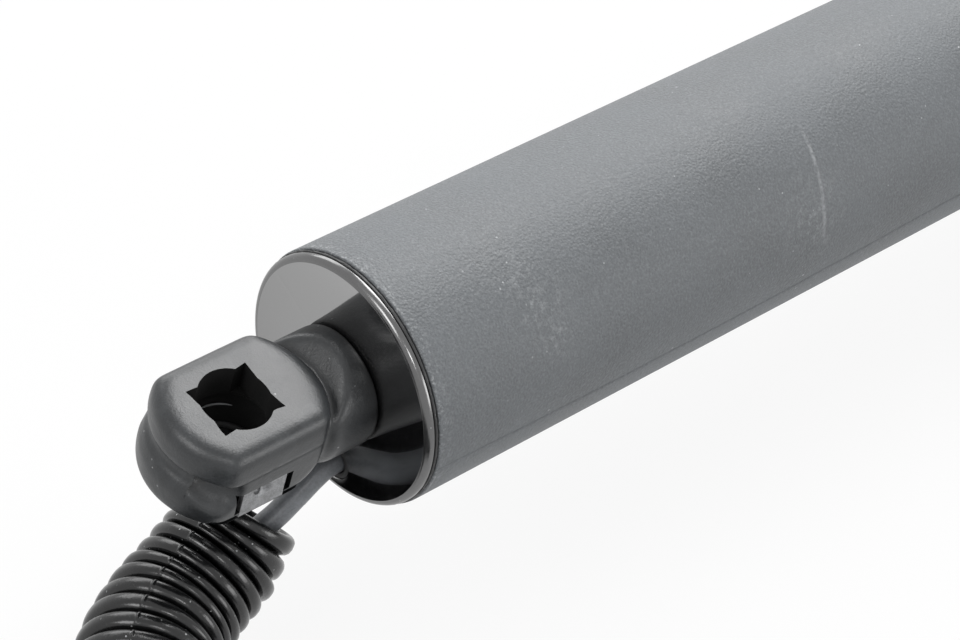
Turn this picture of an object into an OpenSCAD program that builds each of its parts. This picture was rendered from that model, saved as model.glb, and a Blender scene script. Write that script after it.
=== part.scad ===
// Powered tailgate strut, closed, with a ball socket at each end and a cable in a ribbed conduit.
// The origin is the centre of the lower ball, the strut runs along +X and the ball seats open towards -Z.

/* [Overall] */
// Distance between the two ball centres when the strut is closed
closed_len = 526; // [500:1:560]
// How far the strut opens
stroke = 180; // [120:5:190]
// Turn-to-travel of the screw, the travel for one turn
screw_lead = 20; // [12:1:30]

/* [Housing tube] */
// Outer diameter of the housing tube
tube_d = 40; // [39:0.5:44]
// Wall of the housing tube
tube_wall = 1.8; // [1.2:0.1:2]
// Length of the housing tube
tube_len = 362; // [350:1:375]
// Bevel at the ends of the housing tube
tube_bevel = 0.35; // [0.1:0.05:0.6]

/* [Ball sockets] */
// Diameter of the ball stud that the socket takes
ball_d = 13; // [12:0.1:13.2]
// Clearance round the ball, on the radius
ball_gap = 0.1; // [0.05:0.05:0.3]
// Width of the socket head across its flat sides
head_w = 19.6; // [19:0.1:22]
// Height of the head's flat top above the ball centre
head_top = 8.7; // [8:0.1:10]
// Radius of the head's rounded outer end
head_end_r = 11.3; // [11:0.1:12]
// Radius of the head's shoulder towards the neck
shoulder_r = 14.1; // [13:0.1:15]
// Height of the parting line above the ball centre
parting_z = 3.3; // [2:0.1:4]
// Radius that rounds the head's top edge
head_round = 2.6; // [1:0.1:3]
// Radius of the round cup under the head
cup_r = 12.2; // [12:0.1:13]
// Depth of the cup below the ball centre
cup_depth = 5.6; // [5.4:0.1:7]
// Width of the cup and the lower half across their flat sides
cup_w = 19; // [18:0.1:19.6]
// Depth of the straight wall of the seat below the ball centre
seat_wall = 4; // [3:0.1:4.2]
// Radius of the lead-in at the mouth of the seat
mouth_r = 7.2; // [6.8:0.1:7.6]
// Radius of the round window in the head's top
window_r = 5.7; // [5:0.1:6]
// Reach of the window's four points from its centre
window_point = 7; // [6.2:0.1:7.4]
// Diameter of the socket's neck
neck_d = 18.8; // [16:0.1:19.6]
// Distance from the ball centre to the end cap's face
neck_len = 20.8; // [19:0.1:24]
// Width of the clip's pad in the socket's side
clip_w = 7.8; // [6:0.1:8.4]
// Height of the clip's pad
clip_h = 4.5; // [3.6:0.1:4.6]
// Thickness of the clip's sheet
clip_t = 0.9; // [0.6:0.1:1]
// Gap in the socket at each side of the clip's pad
clip_slot = 1; // [0.6:0.1:1.2]
// How far the clip pulls out to free the ball
clip_travel = 5.5; // [5.3:0.1:6]

/* [End caps] */
// Step between the end cap's face and the housing tube's end
cap_step = 1.86; // [1.7:0.02:2.5]
// Rounding of the end cap's rim
cap_round = 1; // [0.6:0.1:1]
// Width of the groove behind the cap's rim
cap_groove = 0.25; // [0.2:0.05:0.4]
// Width of the seal ring's visible band
seal_w = 0.45; // [0.3:0.05:0.45]
// Depth of the end cap's plug in the housing tube
plug_len = 21; // [16:1:24]
// Wall of the end cap's plug
plug_wall = 2.5; // [2:0.1:4]
// Diameter of the spigot that the socket is fixed on
spigot_d = 10; // [8:0.1:11]
// Length of the spigot
spigot_len = 9; // [6:0.1:9.4]
// Fit of pressed pieces, on the radius
press_gap = 0.05; // [0.02:0.01:0.1]

/* [Cable] */
// Diameter of the cable
cable_d = 3.8; // [3.4:0.1:4.2]
// Height of the cable's outlet below the strut's axis
outlet_drop = 14.2; // [13.6:0.1:14.6]
// Sideways place of the cable's outlet
outlet_side = 3.4; // [3:0.1:3.8]
// Diameter of the cable gland
gland_d = 6; // [5.4:0.1:6.6]

/* [Bellows] */
// Diameter of the plain cuff at the bellows' mouth
cuff_d = 16.8; // [15:0.2:18]
// Crest diameter of the bellows past its tapered part
bellows_d = 22; // [20:0.2:22]
// Depth of a rib from crest to valley
rib_depth = 1.9; // [1:0.1:2.4]
// Distance from rib to rib
rib_pitch = 3.1; // [2.9:0.05:3.4]
// Number of ribs
rib_count = 29; // [24:1:29]
// Wall of the bellows
bellows_wall = 1.1; // [0.8:0.1:1.3]

/* [Motor] */
// Diameter of the motor can
motor_d = 30; // [28:0.5:31]
// Length of the motor can
motor_len = 58; // [50:1:60]
// Wall of the motor can
motor_wall = 1.2; // [1:0.1:1.6]
// Thickness of the motor magnets
magnet_t = 2; // [1.5:0.1:2.6]
// Air gap between the armature and the magnets
air_gap = 0.4; // [0.35:0.05:0.8]
// Length of the front bush
bush_len = 5; // [4:0.5:7]
// Length of the winding's head at each end of the core
winding_len = 4.5; // [3:0.5:6]
// Diameter of the motor shaft
shaft_d = 3; // [2.5:0.1:3.4]
// Clearance of a shaft in its bush, on the radius
run_gap = 0.04; // [0.02:0.01:0.08]
// Length of the damper rings round the motor
damper_len = 8; // [6:1:12]

/* [Gear stage] */
// Module of the gear teeth
gear_m = 0.5; // [0.45:0.01:0.5]
// Teeth of the sun gear
sun_teeth = 12; // [12]
// Teeth of each planet gear
planet_teeth = 24; // [24]
// Pressure angle of the teeth
pressure = 25; // [22:1:27]
// Thinning of each tooth flank, for backlash
backlash = 0.05; // [0.04:0.01:0.08]
// Face width of the gears
gear_w = 10; // [8:1:12]
// Thickness of the planet carrier
carrier_t = 4; // [3:0.5:5]
// Diameter of the planet pins
planet_pin_d = 3; // [2.4:0.1:3.4]

/* [Spindle] */
// Diameter of the spindle
spindle_d = 10; // [9:0.1:10.2]
// Bore of the spindle bearing's outer race, at its ball track's shoulder
bearing_d = 26; // [25:0.5:28]
// Width of the spindle bearing
bearing_w = 8; // [7.6:0.1:9]
// Diameter of the bearing balls
bearing_ball = 4; // [3.6:0.1:4.2]
// Number of bearing balls
bearing_count = 9; // [7:1:10]
// Length of the spindle nut
nut_len = 24; // [18:1:28]
// Outer diameter of the spindle nut
nut_d = 16.4; // [15.8:0.1:16.4]
// Bore of the guide tube round the nut
guide_bore = 16.6; // [16.6:0.1:17]
// Wall of the guide tube
guide_wall = 1.7; // [1.2:0.1:1.8]
// Outer diameter of the push tube
push_d = 14.4; // [13.6:0.1:14.8]
// Wall of the push tube
push_wall = 1.5; // [1.2:0.1:1.7]

/* [Cover tube and spring] */
// Outer diameter of the cover tube
cover_d = 34; // [33.6:0.1:34.2]
// Wall of the cover tube
cover_wall = 1; // [0.8:0.1:1.1]
// Thickness of the spring's wire
wire_d = 3; // [2.4:0.1:3]
// Mean diameter of the spring's turns
spring_d = 26; // [25.6:0.1:26.4]
// Number of the spring's turns
spring_turns = 30; // [22:1:32]
// Clearance between pieces that slide past each other, on the radius
slide_gap = 0.1; // [0.05:0.01:0.2]

/* [Hidden] */

$fn = 64;
// Small overlap that keeps cutting faces apart
eps = 0.01;
// Axial clearance between a turning piece and the fixed piece beside it
end_gap = 0.3;

// Radii that several pieces share
tube_r = tube_d / 2;
tube_bore_r = tube_r - tube_wall;
inner_fit_r = tube_bore_r - press_gap;
seat_r = ball_d / 2 + ball_gap;
neck_r = neck_d / 2;
cover_r = cover_d / 2;
cover_bore_r = cover_r - cover_wall;
push_r = push_d / 2;
guide_r = guide_bore / 2 + guide_wall;
motor_r = motor_d / 2;
can_bore_r = motor_r - motor_wall;
magnet_bore_r = can_bore_r - magnet_t;
core_r = magnet_bore_r - air_gap;
shaft_r = shaft_d / 2;
spindle_r = spindle_d / 2;

// Places along the strut, counted from the lower ball centre
cap_x = neck_len;
tube_x = cap_x + cap_step;
tube_end = tube_x + tube_len;
plug_end = tube_x + plug_len;
board_t = 1.6;
board_x = plug_end;
motor_x = board_x + board_t + 6;
motor_end = motor_x + motor_len;
gear_gap = 0.5;
gear_x = motor_end + gear_gap;
carrier_x = gear_x + gear_w + end_gap;
cover_plate_t = 3;
gear_cover_x = carrier_x + carrier_t + end_gap;
gear_end = gear_cover_x + cover_plate_t;
brake_t = 4;
brake_x = gear_end + end_gap;
brake_plate_x = brake_x + brake_t + end_gap;
brake_plate_t = 3;
carrier_wall_t = 4;
bearing_carrier_x = brake_plate_x + brake_plate_t;
bearing_x = bearing_carrier_x + carrier_wall_t;
bearing_end = bearing_x + bearing_w;
seat_flange_t = 2.5;
guide_x = bearing_end;
spring_seat_x = bearing_end + seat_flange_t;
nut_x = spring_seat_x + 3;
slide_ring_len = 10;
cover_x = spring_seat_x + 2;
upper_x = closed_len;
upper_cap_x = upper_x - neck_len;
upper_plug_len = 12;
cover_end = upper_cap_x - cap_step;
upper_plug_x = cover_end - upper_plug_len;
guide_end = tube_end - 2;
spindle_start = gear_cover_x + cover_plate_t;
stop_len = 5;
spindle_end = min(nut_x + nut_len + stroke + stop_len + 2, upper_plug_x - 6);
spring_x = spring_seat_x;
upper_seat_t = 2.5;
spring_end = upper_plug_x - upper_seat_t;

// Gear sizes that follow from the module and the teeth
ring_teeth = sun_teeth + 2 * planet_teeth;
planet_count = 3;
planet_orbit = gear_m * (sun_teeth + planet_teeth) / 2;
tooth_out = 0.8;
tooth_in = 1.05;
planet_bore_r = planet_pin_d / 2 + run_gap;
planet_phase = (180 * planet_teeth - 180) / planet_teeth;
ring_phase = (180 * planet_teeth - 180) / ring_teeth;

// Ball bearing
track_r = bearing_d / 4 + spindle_r / 2 + 0.25;
inner_race_r = track_r - bearing_ball * 0.28;
outer_race_r = track_r + bearing_ball * 0.28;
track_gap = 0.05;

// The surface that the cable and the bellows lie on, below the ball centre
floor_z = -39.4;
cable_r = cable_d / 2;
gland_r = gland_d / 2;
lie_z = floor_z + cable_r;
// Where the cable ends inside the end cap
cable_in_x = 28.6;
// Where the cable and the bellows lie together, past the photograph's edge and on to the body panel
shared = [
  [-7.8, -5.5, -28.2],
  [-10.7, -6.7, -28.4],
  [-13.4, -8.2, -28.4],
  [-16.2, -10, -28.4],
  [-20.2, -13.4, -28.4],
  [-24.2, -18, -28.4],
  [-27.4, -23.6, -28.4],
  [-29.3, -30, -28.4],
  [-29.7, -37, -28.4],
  [-28.5, -44, -28.4],
  [-25.9, -50.6, -28.4],
  [-22.4, -57, -28.4],
  [-18.3, -63, -28.4],
  [-14, -69, -28.4],
  [-9.6, -75, -28.6]
];
// The cable's route from inside the end cap to the connector
cable_route = concat([
  [cable_in_x, -outlet_side, -outlet_drop],
  [cap_x, -outlet_side, -outlet_drop],
  [17.5, -3.5, -15.1],
  [14, -3.8, -17.4],
  [10.6, -3.9, -20],
  [6.8, -3.7, -22.4],
  [2.6, -3.8, -24.8],
  [-2.4, -4.4, -26.9]
], shared, [
  [-5.2, -81.5, -30.6],
  [-2, -89, -34.6],
  [-2.6, -97, lie_z],
  [-8, -104, lie_z],
  [-17, -108, lie_z],
  [-28, -108.5, lie_z],
  [-39, -106, lie_z],
  [-49, -100.5, lie_z],
  [-56, -92, lie_z],
  [-60, -82, -35.8],
  [-61.5, -72, -33.2],
  [-62, -64.4, -32.4]
]);
// The bellows' route, which starts beside the cable and takes it in at its open mouth
bellows_route = concat([
  [12.2, 0.8, -18.2],
  [10.2, 0, -20.1],
  [8.1, -0.7, -21.9],
  [5.9, -1.4, -23.5],
  [3.4, -2.1, -24.8],
  [0.8, -2.8, -26],
  [-2.1, -3.6, -26.9],
  [-5, -4.5, -27.7]
], shared);
mouth_s = 4.5;
cuff_len = rib_pitch * 1.45 - rib_pitch / 2;
bellows_len = cuff_len + rib_count * rib_pitch;
grommet_len = 12;
bellows_end_s = mouth_s + bellows_len;
grommet_end_s = bellows_end_s + grommet_len;

// Points between two route points on a smooth curve
function blend_point(a, b, c, d, t) =
  0.5 * (2 * b + (c - a) * t + (2 * a - 5 * b + 4 * c - d) * t * t
  + (3 * b - a - 3 * c + d) * t * t * t);
function fine_curve(p, n) = [
  for (i = [0 : len(p) - 2], k = [0 : n - 1])
    blend_point(
      i == 0 ? 2 * p[0] - p[1] : p[i - 1], p[i], p[i + 1],
      i == len(p) - 2 ? 2 * p[i + 1] - p[i] : p[i + 2], k / n),
  p[len(p) - 1]
];
function lengths(p, i = 0, sum = 0, out = []) =
  i == len(p) - 1 ? concat(out, [sum])
  : lengths(p, i + 1, sum + norm(p[i + 1] - p[i]), concat(out, [sum]));
// A route as its length and three tables that give x, y and z at a length
function way(route) =
  let (p = fine_curve(route, 8), l = lengths(p))
  [l[len(l) - 1], [for (axis = [0 : 2]) [for (i = [0 : len(p) - 1]) [l[i], p[i][axis]]]]];
cable_way = way(cable_route);
bellows_way = way(bellows_route);
cord_len = cable_way[0];
function at(w, s) = [for (axis = [0 : 2]) lookup(s, w[1][axis])];
function unit(v) = v / norm(v);
look = 1.2;
function heading(w, s) = unit(at(w, min(s + look, w[0])) - at(w, max(s - look, 0)));
// A ring of points round a route at length s, standing square to it
function route_ring(w, s, r, sides) =
  let (t = heading(w, s), side = unit(cross([0, 0, 1], t)), up = cross(t, side))
  [for (k = [0 : sides - 1]) let (a = 360 * (k + 0.5) / sides)
    at(w, s) + r * (cos(a) * side + sin(a) * up)];

// A closed skin over rings that each have the same number of points
function skin_faces(rings, sides) = [
  for (i = [0 : rings - 2], k = [0 : sides - 1], h = [0, 1])
    let (a = i * sides + k, b = i * sides + (k + 1) % sides)
    h == 0 ? [a, b, a + sides] : [b, b + sides, a + sides]
];
module solid_tube(rings) {
  n = len(rings);
  sides = len(rings[0]);
  first = [for (k = [1 : sides - 2]) [0, k + 1, k]];
  last = [for (k = [1 : sides - 2]) [(n - 1) * sides, (n - 1) * sides + k, (n - 1) * sides + k + 1]];
  polyhedron(points = [for (r = rings) each r], faces = concat(skin_faces(n, sides), first, last));
}
// Rings that run out along the outside and back along the inside
module hollow_tube(rings) {
  n = len(rings);
  sides = len(rings[0]);
  join = [for (k = [0 : sides - 1], h = [0, 1])
    let (a = (n - 1) * sides + k, b = (n - 1) * sides + (k + 1) % sides, c = k, d = (k + 1) % sides)
    h == 0 ? [a, b, c] : [b, d, c]];
  polyhedron(points = [for (r = rings) each r], faces = concat(skin_faces(n, sides), join));
}

// A cylinder along +X from x0 to x1
module bar(x0, x1, r) {
  translate([x0, 0, 0])
    rotate([0, 90, 0])
      cylinder(h = x1 - x0, r = r);
}
// A plain tube along +X
module pipe(x0, x1, r_out, r_in) {
  difference() {
    bar(x0, x1, r_out);
    bar(x0 - eps, x1 + eps, r_in);
  }
}
// A body of revolution about the X axis, from points [x, radius]
module turned(profile) {
  rotate([0, 90, 0])
    rotate_extrude($fn = 96)
      polygon([for (p = profile) [p[1], p[0]]]);
}

// Half the angle that a tooth fills at radius rho
function involute(a) = tan(a) - a * PI / 180;
function tooth_half(z, rho, thin) =
  let (rp = gear_m * z / 2, rb = rp * cos(pressure))
  90 / z - thin / rp * 180 / PI
  + (involute(pressure) - involute(acos(min(1, rb / rho)))) * 180 / PI;
// The outline of a gear, one tooth centred on the first axis
function gear_outline(z, r_root, r_tip, thin) =
  let (rb = gear_m * z / 2 * cos(pressure), r_foot = max(rb, r_root), n = 3)
  [for (i = [0 : z - 1])
    let (c = 360 * i / z)
    each concat(
      r_foot > r_root ? [r_root * spoke(c - tooth_half(z, r_foot, thin))] : [],
      [for (k = [0 : n]) let (rho = r_foot + (r_tip - r_foot) * k / n)
        rho * spoke(c - tooth_half(z, rho, thin))],
      [for (k = [n : -1 : 0]) let (rho = r_foot + (r_tip - r_foot) * k / n)
        rho * spoke(c + tooth_half(z, rho, thin))],
      r_foot > r_root ? [r_root * spoke(c + tooth_half(z, r_foot, thin))] : []
    )
  ];
function spoke(a) = [cos(a), sin(a)];
module gear(z, x0, w) {
  rp = gear_m * z / 2;
  translate([x0, 0, 0])
    rotate([90, 0, 90])
      linear_extrude(w)
        polygon(gear_outline(z, rp - tooth_in * gear_m, rp + tooth_out * gear_m, backlash));
}

// The edge of a rounded corner, from its side up to its top, as [in from the side, up from its start]
round_steps = 5;
function corner(r) = [for (i = [0 : round_steps]) let (a = 90 * i / round_steps) [r * (1 - cos(a)), r * sin(a)]];

// A turned body whose top edge is rounded and which runs a little past the head's flat top
module rounded_drum(r) {
  last = corner(head_round)[round_steps - 1];
  slope = (head_round - last[1]) / (head_round - last[0]);
  z0 = head_top - head_round;
  rotate_extrude($fn = 96)
    polygon(concat(
      [[0, parting_z], [r, parting_z]],
      [for (i = [0 : round_steps - 1]) let (c = corner(head_round)[i]) [r - c[0], z0 + c[1]]],
      [[r - head_round - 2, head_top + 2 * slope], [0, head_top + 2 * slope]]
    ));
}

// The head's section across the strut, with its two top edges rounded
module head_section() {
  w = head_w / 2;
  z0 = head_top - head_round;
  polygon(concat(
    [[-w, parting_z], [w, parting_z]],
    [for (c = corner(head_round)) [w - c[0], z0 + c[1]]],
    [for (i = [round_steps : -1 : 0]) let (c = corner(head_round)[i]) [-w + c[0], z0 + c[1]]]
  ));
}

// The head above the parting line
end_shift = 1.2;
corner_r = shoulder_r - 0.5;
module head_upper() {
  reach = head_end_r + end_shift;
  intersection() {
    translate([-2 * head_end_r, 0, 0])
      rotate([90, 0, 90])
        linear_extrude(2 * head_end_r + 2 * shoulder_r)
          head_section();
    rounded_drum(shoulder_r);
    // Takes the corners off the shoulder
    rotate(45)
      translate([0, 0, head_top])
        cube([2 * corner_r, 2 * corner_r, 4 * head_top], center = true);
    union() {
      translate([end_shift, 0, 0])
        rounded_drum(reach);
      translate([0, -reach + 1.5, parting_z])
        cube([2 * shoulder_r, 2 * reach - 3, head_top]);
    }
  }
}

// The part between the cup and the parting line
module head_lower() {
  reach = head_end_r + end_shift - 0.5;
  intersection() {
    translate([-2 * shoulder_r, -cup_w / 2, 0])
      cube([4 * shoulder_r, cup_w, parting_z]);
    cylinder(h = parting_z, r = shoulder_r - 0.3, $fn = 96);
    union() {
      translate([end_shift, 0, 0])
        cylinder(h = parting_z, r = reach, $fn = 96);
      translate([0, -reach + 1.5, 0])
        cube([2 * shoulder_r, 2 * reach - 3, parting_z]);
    }
  }
}

// The window's four points, joined by hollow sides
module window_points() {
  point_x = 0.76 * window_point;
  point_y = 0.65 * window_point;
  waist = 0.94;
  polygon([
    [point_x, point_y], [0, point_y * waist], [-point_x, point_y], [-point_x * waist, 0],
    [-point_x, -point_y], [0, -point_y * waist], [point_x, -point_y], [point_x * waist, 0]
  ]);
}

// The ball's room: round above the ball centre, straight below it and wider at the mouth
module seat_room() {
  rotate_extrude($fn = 96)
    polygon(concat(
      [for (i = [0 : 12]) seat_r * [cos(90 - 7.5 * i), sin(90 - 7.5 * i)]],
      [[seat_r, -seat_wall], [mouth_r, -seat_wall], [mouth_r, -cup_depth - 1], [0, -cup_depth - 1]]
    ));
}

// The neck, with the head's flat top run on into it
module neck() {
  tongue_x = shoulder_r + 3;
  difference() {
    turned([
      [cup_r - 4.4, 0], [cup_r - 4.4, neck_r - 4.6], [cup_r + 0.6, neck_r], [neck_len, neck_r], [neck_len, 0]
    ]);
    translate([0, -neck_r, head_top])
      cube([tongue_x, 2 * neck_r, neck_r]);
    translate([tongue_x, 0, head_top])
      rotate([0, -45, 0])
        translate([-neck_r, -neck_r, 0])
          cube([2 * neck_r, 2 * neck_r, neck_r]);
  }
}

// A ball socket with its seat's centre at the origin, its neck along +X and its mouth towards -Z
module ball_socket_body() {
  pocket_w = clip_w + 2 * clip_slot;
  difference() {
    union() {
      head_upper();
      head_lower();
      // The round cup with its flat sides and its rounded edges
      intersection() {
        translate([0, 0, -cup_depth])
          rotate_extrude($fn = 96)
            polygon([
              [0, 0], [cup_r - 1.3, 0], [cup_r - 0.4, 0.4], [cup_r, 1.3], [cup_r, cup_depth - 0.9],
              [cup_r - 0.3, cup_depth - 0.3], [cup_r - 0.9, cup_depth], [0, cup_depth]
            ]);
        cube([3 * cup_r, cup_w, 3 * cup_depth], center = true);
      }
      // The body between the cup and the neck
      intersection() {
        translate([0, 0, -cup_depth])
          rotate_extrude($fn = 96)
            polygon([
              [0, 0], [cup_r - 1, 0], [shoulder_r - 1.2, 2.2], [shoulder_r - 0.3, 4.2],
              [shoulder_r - 0.3, cup_depth], [0, cup_depth]
            ]);
        translate([3, -cup_w / 2, -2 * cup_depth])
          cube([2 * shoulder_r, cup_w, 4 * cup_depth]);
      }
      neck();
    }
    seat_room();
    // The window, its points less deep than its round middle
    cylinder(h = 2 * head_top, r = window_r);
    translate([0, 0, head_top * 0.41])
      linear_extrude(head_top)
        window_points();
    clip_room(pocket_w);
    // The blind hole for the end cap's spigot
    bar(neck_len - spigot_len - 0.4, neck_len + 1, spigot_d / 2 + press_gap);
  }
}

// The clip is one bent sheet: a pad in the socket's side and two legs under the ball
leg_in = 5.1;
leg_t = 1;
leg_out = mouth_r + leg_t;
leg_reach = 5.2;
leg_h = 0.85;
leg_z = -cup_depth + 0.55;
waist_half = 1.1;

// The room that the clip slides in: its pad's pocket, its slots and the ways for its legs under the ball
module clip_room(pocket_w) {
  side = cup_w / 2;
  way_z = leg_z - 0.1;
  translate([-clip_w / 2 - 0.1, -side - 1, -clip_h - 0.5])
    cube([clip_w + 0.2, clip_t + 1.5, clip_h + 0.5]);
  for (s = [-1, 1]) {
    translate([s * (pocket_w / 2 - clip_slot / 2) - clip_slot / 2 - 0.05, -side - 1, -clip_h + 0.6])
      cube([clip_slot + 0.1, side - 3.6, clip_h - 0.7]);
    translate([s > 0 ? leg_in - 0.3 : -leg_out - 0.3, -side - 1, way_z])
      cube([leg_out - leg_in + 0.6, side + 1 + leg_reach + 0.4, leg_h + 0.2]);
  }
  translate([-leg_out, -side - 1, way_z])
    cube([2 * leg_out, clip_t + 1.5, leg_h + 0.2]);
}

module clip_body() {
  pad_y = -cup_w / 2 + 0.1;
  difference() {
    translate([-clip_w / 2, pad_y, leg_z])
      cube([clip_w, clip_t, -0.15 - leg_z]);
    // The dimple that a screwdriver's tip finds
    translate([-0.9, pad_y, -1.2])
      rotate([90, 0, 0])
        cylinder(h = 0.8, r = 0.7, center = true, $fn = 32);
  }
  translate([-leg_out, pad_y, leg_z])
    cube([2 * leg_out, clip_t, leg_h]);
  for (s = [-1, 1]) {
    translate([s * (leg_out - leg_t / 2) - leg_t / 2, pad_y, leg_z])
      cube([leg_t, leg_reach - pad_y, leg_h]);
    translate([s > 0 ? leg_in : -leg_out, -waist_half, leg_z])
      cube([leg_out - leg_in, 2 * waist_half, leg_h]);
  }
}

module housing_tube() {
  color("#4a4d50")
    turned([
      [tube_x, tube_bore_r], [tube_x, tube_r - tube_bevel], [tube_x + tube_bevel, tube_r],
      [tube_end - tube_bevel, tube_r], [tube_end, tube_r - tube_bevel], [tube_end, tube_bore_r]
    ]);
}

module lower_end_cap() {
  rim_r = tube_r - 0.35;
  groove_r = rim_r - 0.9;
  groove_x = cap_x + cap_round;
  band_x = groove_x + cap_groove;
  band_end = band_x + seal_w;
  color("#101112")
    difference() {
      union() {
        turned([
          [cap_x, 0], [cap_x, rim_r - cap_round], [cap_x + 0.08, rim_r - 0.6], [cap_x + 0.3, rim_r - 0.25],
          [cap_x + 0.6, rim_r - 0.06], [groove_x, rim_r], [groove_x, groove_r], [band_x, groove_r],
          [band_x, groove_r - 0.6], [band_end, groove_r - 0.6], [band_end, inner_fit_r],
          [plug_end, inner_fit_r], [plug_end, inner_fit_r - plug_wall], [tube_x + 4, inner_fit_r - plug_wall],
          [tube_x + 4, 0]
        ]);
        bar(cap_x - spigot_len, cap_x + eps, spigot_d / 2);
      }
      translate([0, -outlet_side, -outlet_drop])
        bar(cap_x - 1, tube_x + 7, gland_r);
    }
}

module cap_seal_ring() {
  rim_r = tube_r - 0.2;
  groove_r = tube_r - 0.35 - 0.9;
  x0 = cap_x + cap_round + cap_groove;
  color("#2c2e30")
    pipe(x0, x0 + seal_w, rim_r, groove_r - 0.6 + press_gap);
}

module lower_ball_socket() {
  color("#3a3d40")
    ball_socket_body();
}

module lower_clip() {
  color("#8d9093")
    clip_body();
}

module upper_place() {
  translate([upper_x, 0, 0])
    rotate([0, 0, 180])
      children();
}

module upper_ball_socket() {
  color("#3a3d40")
    upper_place()
      ball_socket_body();
}

module upper_clip() {
  color("#8d9093")
    upper_place()
      clip_body();
}

module cable_gland() {
  color("#1b1c1d")
    translate([0, -outlet_side, -outlet_drop])
      pipe(cap_x, tube_x + 4 + 1.5, gland_r - press_gap, cable_r + 0.2);
}

module sensor_board() {
  board_r = inner_fit_r - 1.2;
  color("#1f5a38")
    difference() {
      union() {
        pipe(board_x, board_x + board_t, board_r, 5);
        translate([board_x + board_t, 7, -4])
          cube([2.2, 6, 8]);
        translate([board_x + board_t, -13, -3])
          cube([3, 5, 6]);
      }
      translate([board_x - eps, -outlet_side, -outlet_drop])
        rotate([0, 90, 0])
          cylinder(h = board_t + 2 * eps, r = 1.6);
    }
}

module motor_dampers() {
  color("#17181a")
    for (x = [motor_x + 3, motor_end - 3 - damper_len])
      pipe(x, x + damper_len, inner_fit_r, motor_r + press_gap);
}

module motor_can() {
  color("#a9adb0")
    difference() {
      turned([
        [motor_x, motor_r], [motor_end - 1, motor_r], [motor_end, motor_r - 1],
        [motor_end, bush_r + press_gap], [motor_end - 2, bush_r + press_gap], [motor_end - 2, can_bore_r],
        [motor_x, can_bore_r]
      ]);
      for (a = [90, 270])
        rotate([a, 0, 0])
          translate([motor_end - 5, 8.5, 0])
            rotate([0, 90, 0])
              cylinder(h = 10, r = 1.3, $fn = 32);
    }
}
bush_r = 4;
end_play = 0.4;
plate_t = 4;
plate_x = motor_x + 1;

module motor_magnets() {
  spread = 64;
  color("#3b3b3e")
    for (a = [0, 180])
      rotate([a, 0, 0])
        intersection() {
          pipe(core_x - 1, core_x + core_len + 1, can_bore_r - press_gap, magnet_bore_r);
          translate([core_x - 2, 0, 0])
            rotate([90, 0, 90])
              linear_extrude(core_len + 4)
                polygon([[0, 0], 40 * spoke(-spread), [60, 0], 40 * spoke(spread)]);
        }
}

module brush_plate() {
  color("#26282b")
    difference() {
      union() {
        bar(plate_x, plate_x + plate_t, can_bore_r - press_gap);
        for (s = [-1, 1])
          translate([plate_x + plate_t - 1, s * 8.2 - 3, -2.6])
            cube([7.4, 6, 5.2]);
      }
      bar(plate_x - eps, plate_x + plate_t + eps, shaft_r + run_gap);
      for (s = [-1, 1])
        translate([commutator_x + 1 - press_gap, s * 8.2 - 5, -1.5 - press_gap])
          cube([4 + 2 * press_gap, 10, 3 + 2 * press_gap]);
    }
}

commutator_r = 4;
commutator_len = 8;
commutator_x = plate_x + plate_t + end_play;
core_x = commutator_x + commutator_len + 0.1 + winding_len;
core_len = motor_end - bush_len - end_play - winding_len - core_x;
module brushes() {
  color("#55504b")
    for (s = [-1, 1])
      translate([commutator_x + 1, s > 0 ? commutator_r + run_gap : -commutator_r - run_gap - 7, -1.5])
        cube([4, 7, 3]);
}

module armature_core() {
  slots = 12;
  color("#7b7f83")
    difference() {
      pipe(core_x, core_x + core_len, core_r, shaft_r + press_gap);
      for (i = [0 : slots - 1])
        rotate([360 * i / slots, 0, 0])
          translate([core_x - eps, core_r - 4.4, -0.8])
            cube([core_len + 2 * eps, 5, 1.6]);
    }
}

module armature_windings() {
  color("#a5622e")
    for (x = [core_x - winding_len, core_x + core_len])
      pipe(x, x + winding_len, core_r - 1.6, shaft_r + 1.4);
}

module commutator() {
  segments = 12;
  color("#b3713a")
    difference() {
      pipe(commutator_x, commutator_x + commutator_len, commutator_r, shaft_r + press_gap);
      for (i = [0 : segments - 1])
        rotate([360 * i / segments, 0, 0])
          translate([commutator_x + 1, commutator_r - 0.5, -0.15])
            cube([commutator_len, 1, 0.3]);
    }
}

module sun_shaft() {
  color("#c2c5c8") {
    bar(plate_x, gear_x + eps, shaft_r);
    gear(sun_teeth, gear_x, gear_w);
  }
}

module front_bush() {
  color("#b08d57")
    pipe(motor_end - bush_len, motor_end, bush_r, shaft_r + run_gap);
}

module ring_gear() {
  rp = gear_m * ring_teeth / 2;
  color("#3f4a55")
    difference() {
      bar(gear_x, gear_cover_x, inner_fit_r);
      translate([gear_x - eps, 0, 0])
        rotate([90, 0, 90])
          linear_extrude(gear_w + 1)
            rotate(ring_phase)
              polygon(gear_outline(ring_teeth, rp - tooth_out * gear_m, rp + tooth_in * gear_m, -backlash));
      bar(carrier_x - end_gap, gear_cover_x + 1, rp + tooth_in * gear_m + 0.4);
    }
}

module planet_gear(i) {
  a = 360 * i / planet_count;
  turn = planet_phase + (sun_teeth + planet_teeth) / planet_teeth * a;
  color("#e4ddc8")
    translate([0, planet_orbit * cos(a), planet_orbit * sin(a)])
      rotate([turn, 0, 0])
        difference() {
          gear(planet_teeth, gear_x, gear_w);
          bar(gear_x - eps, gear_x + gear_w + eps, planet_bore_r);
        }
}

module planet_gear_1() {
  planet_gear(0);
}
module planet_gear_2() {
  planet_gear(1);
}
module planet_gear_3() {
  planet_gear(2);
}

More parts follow.
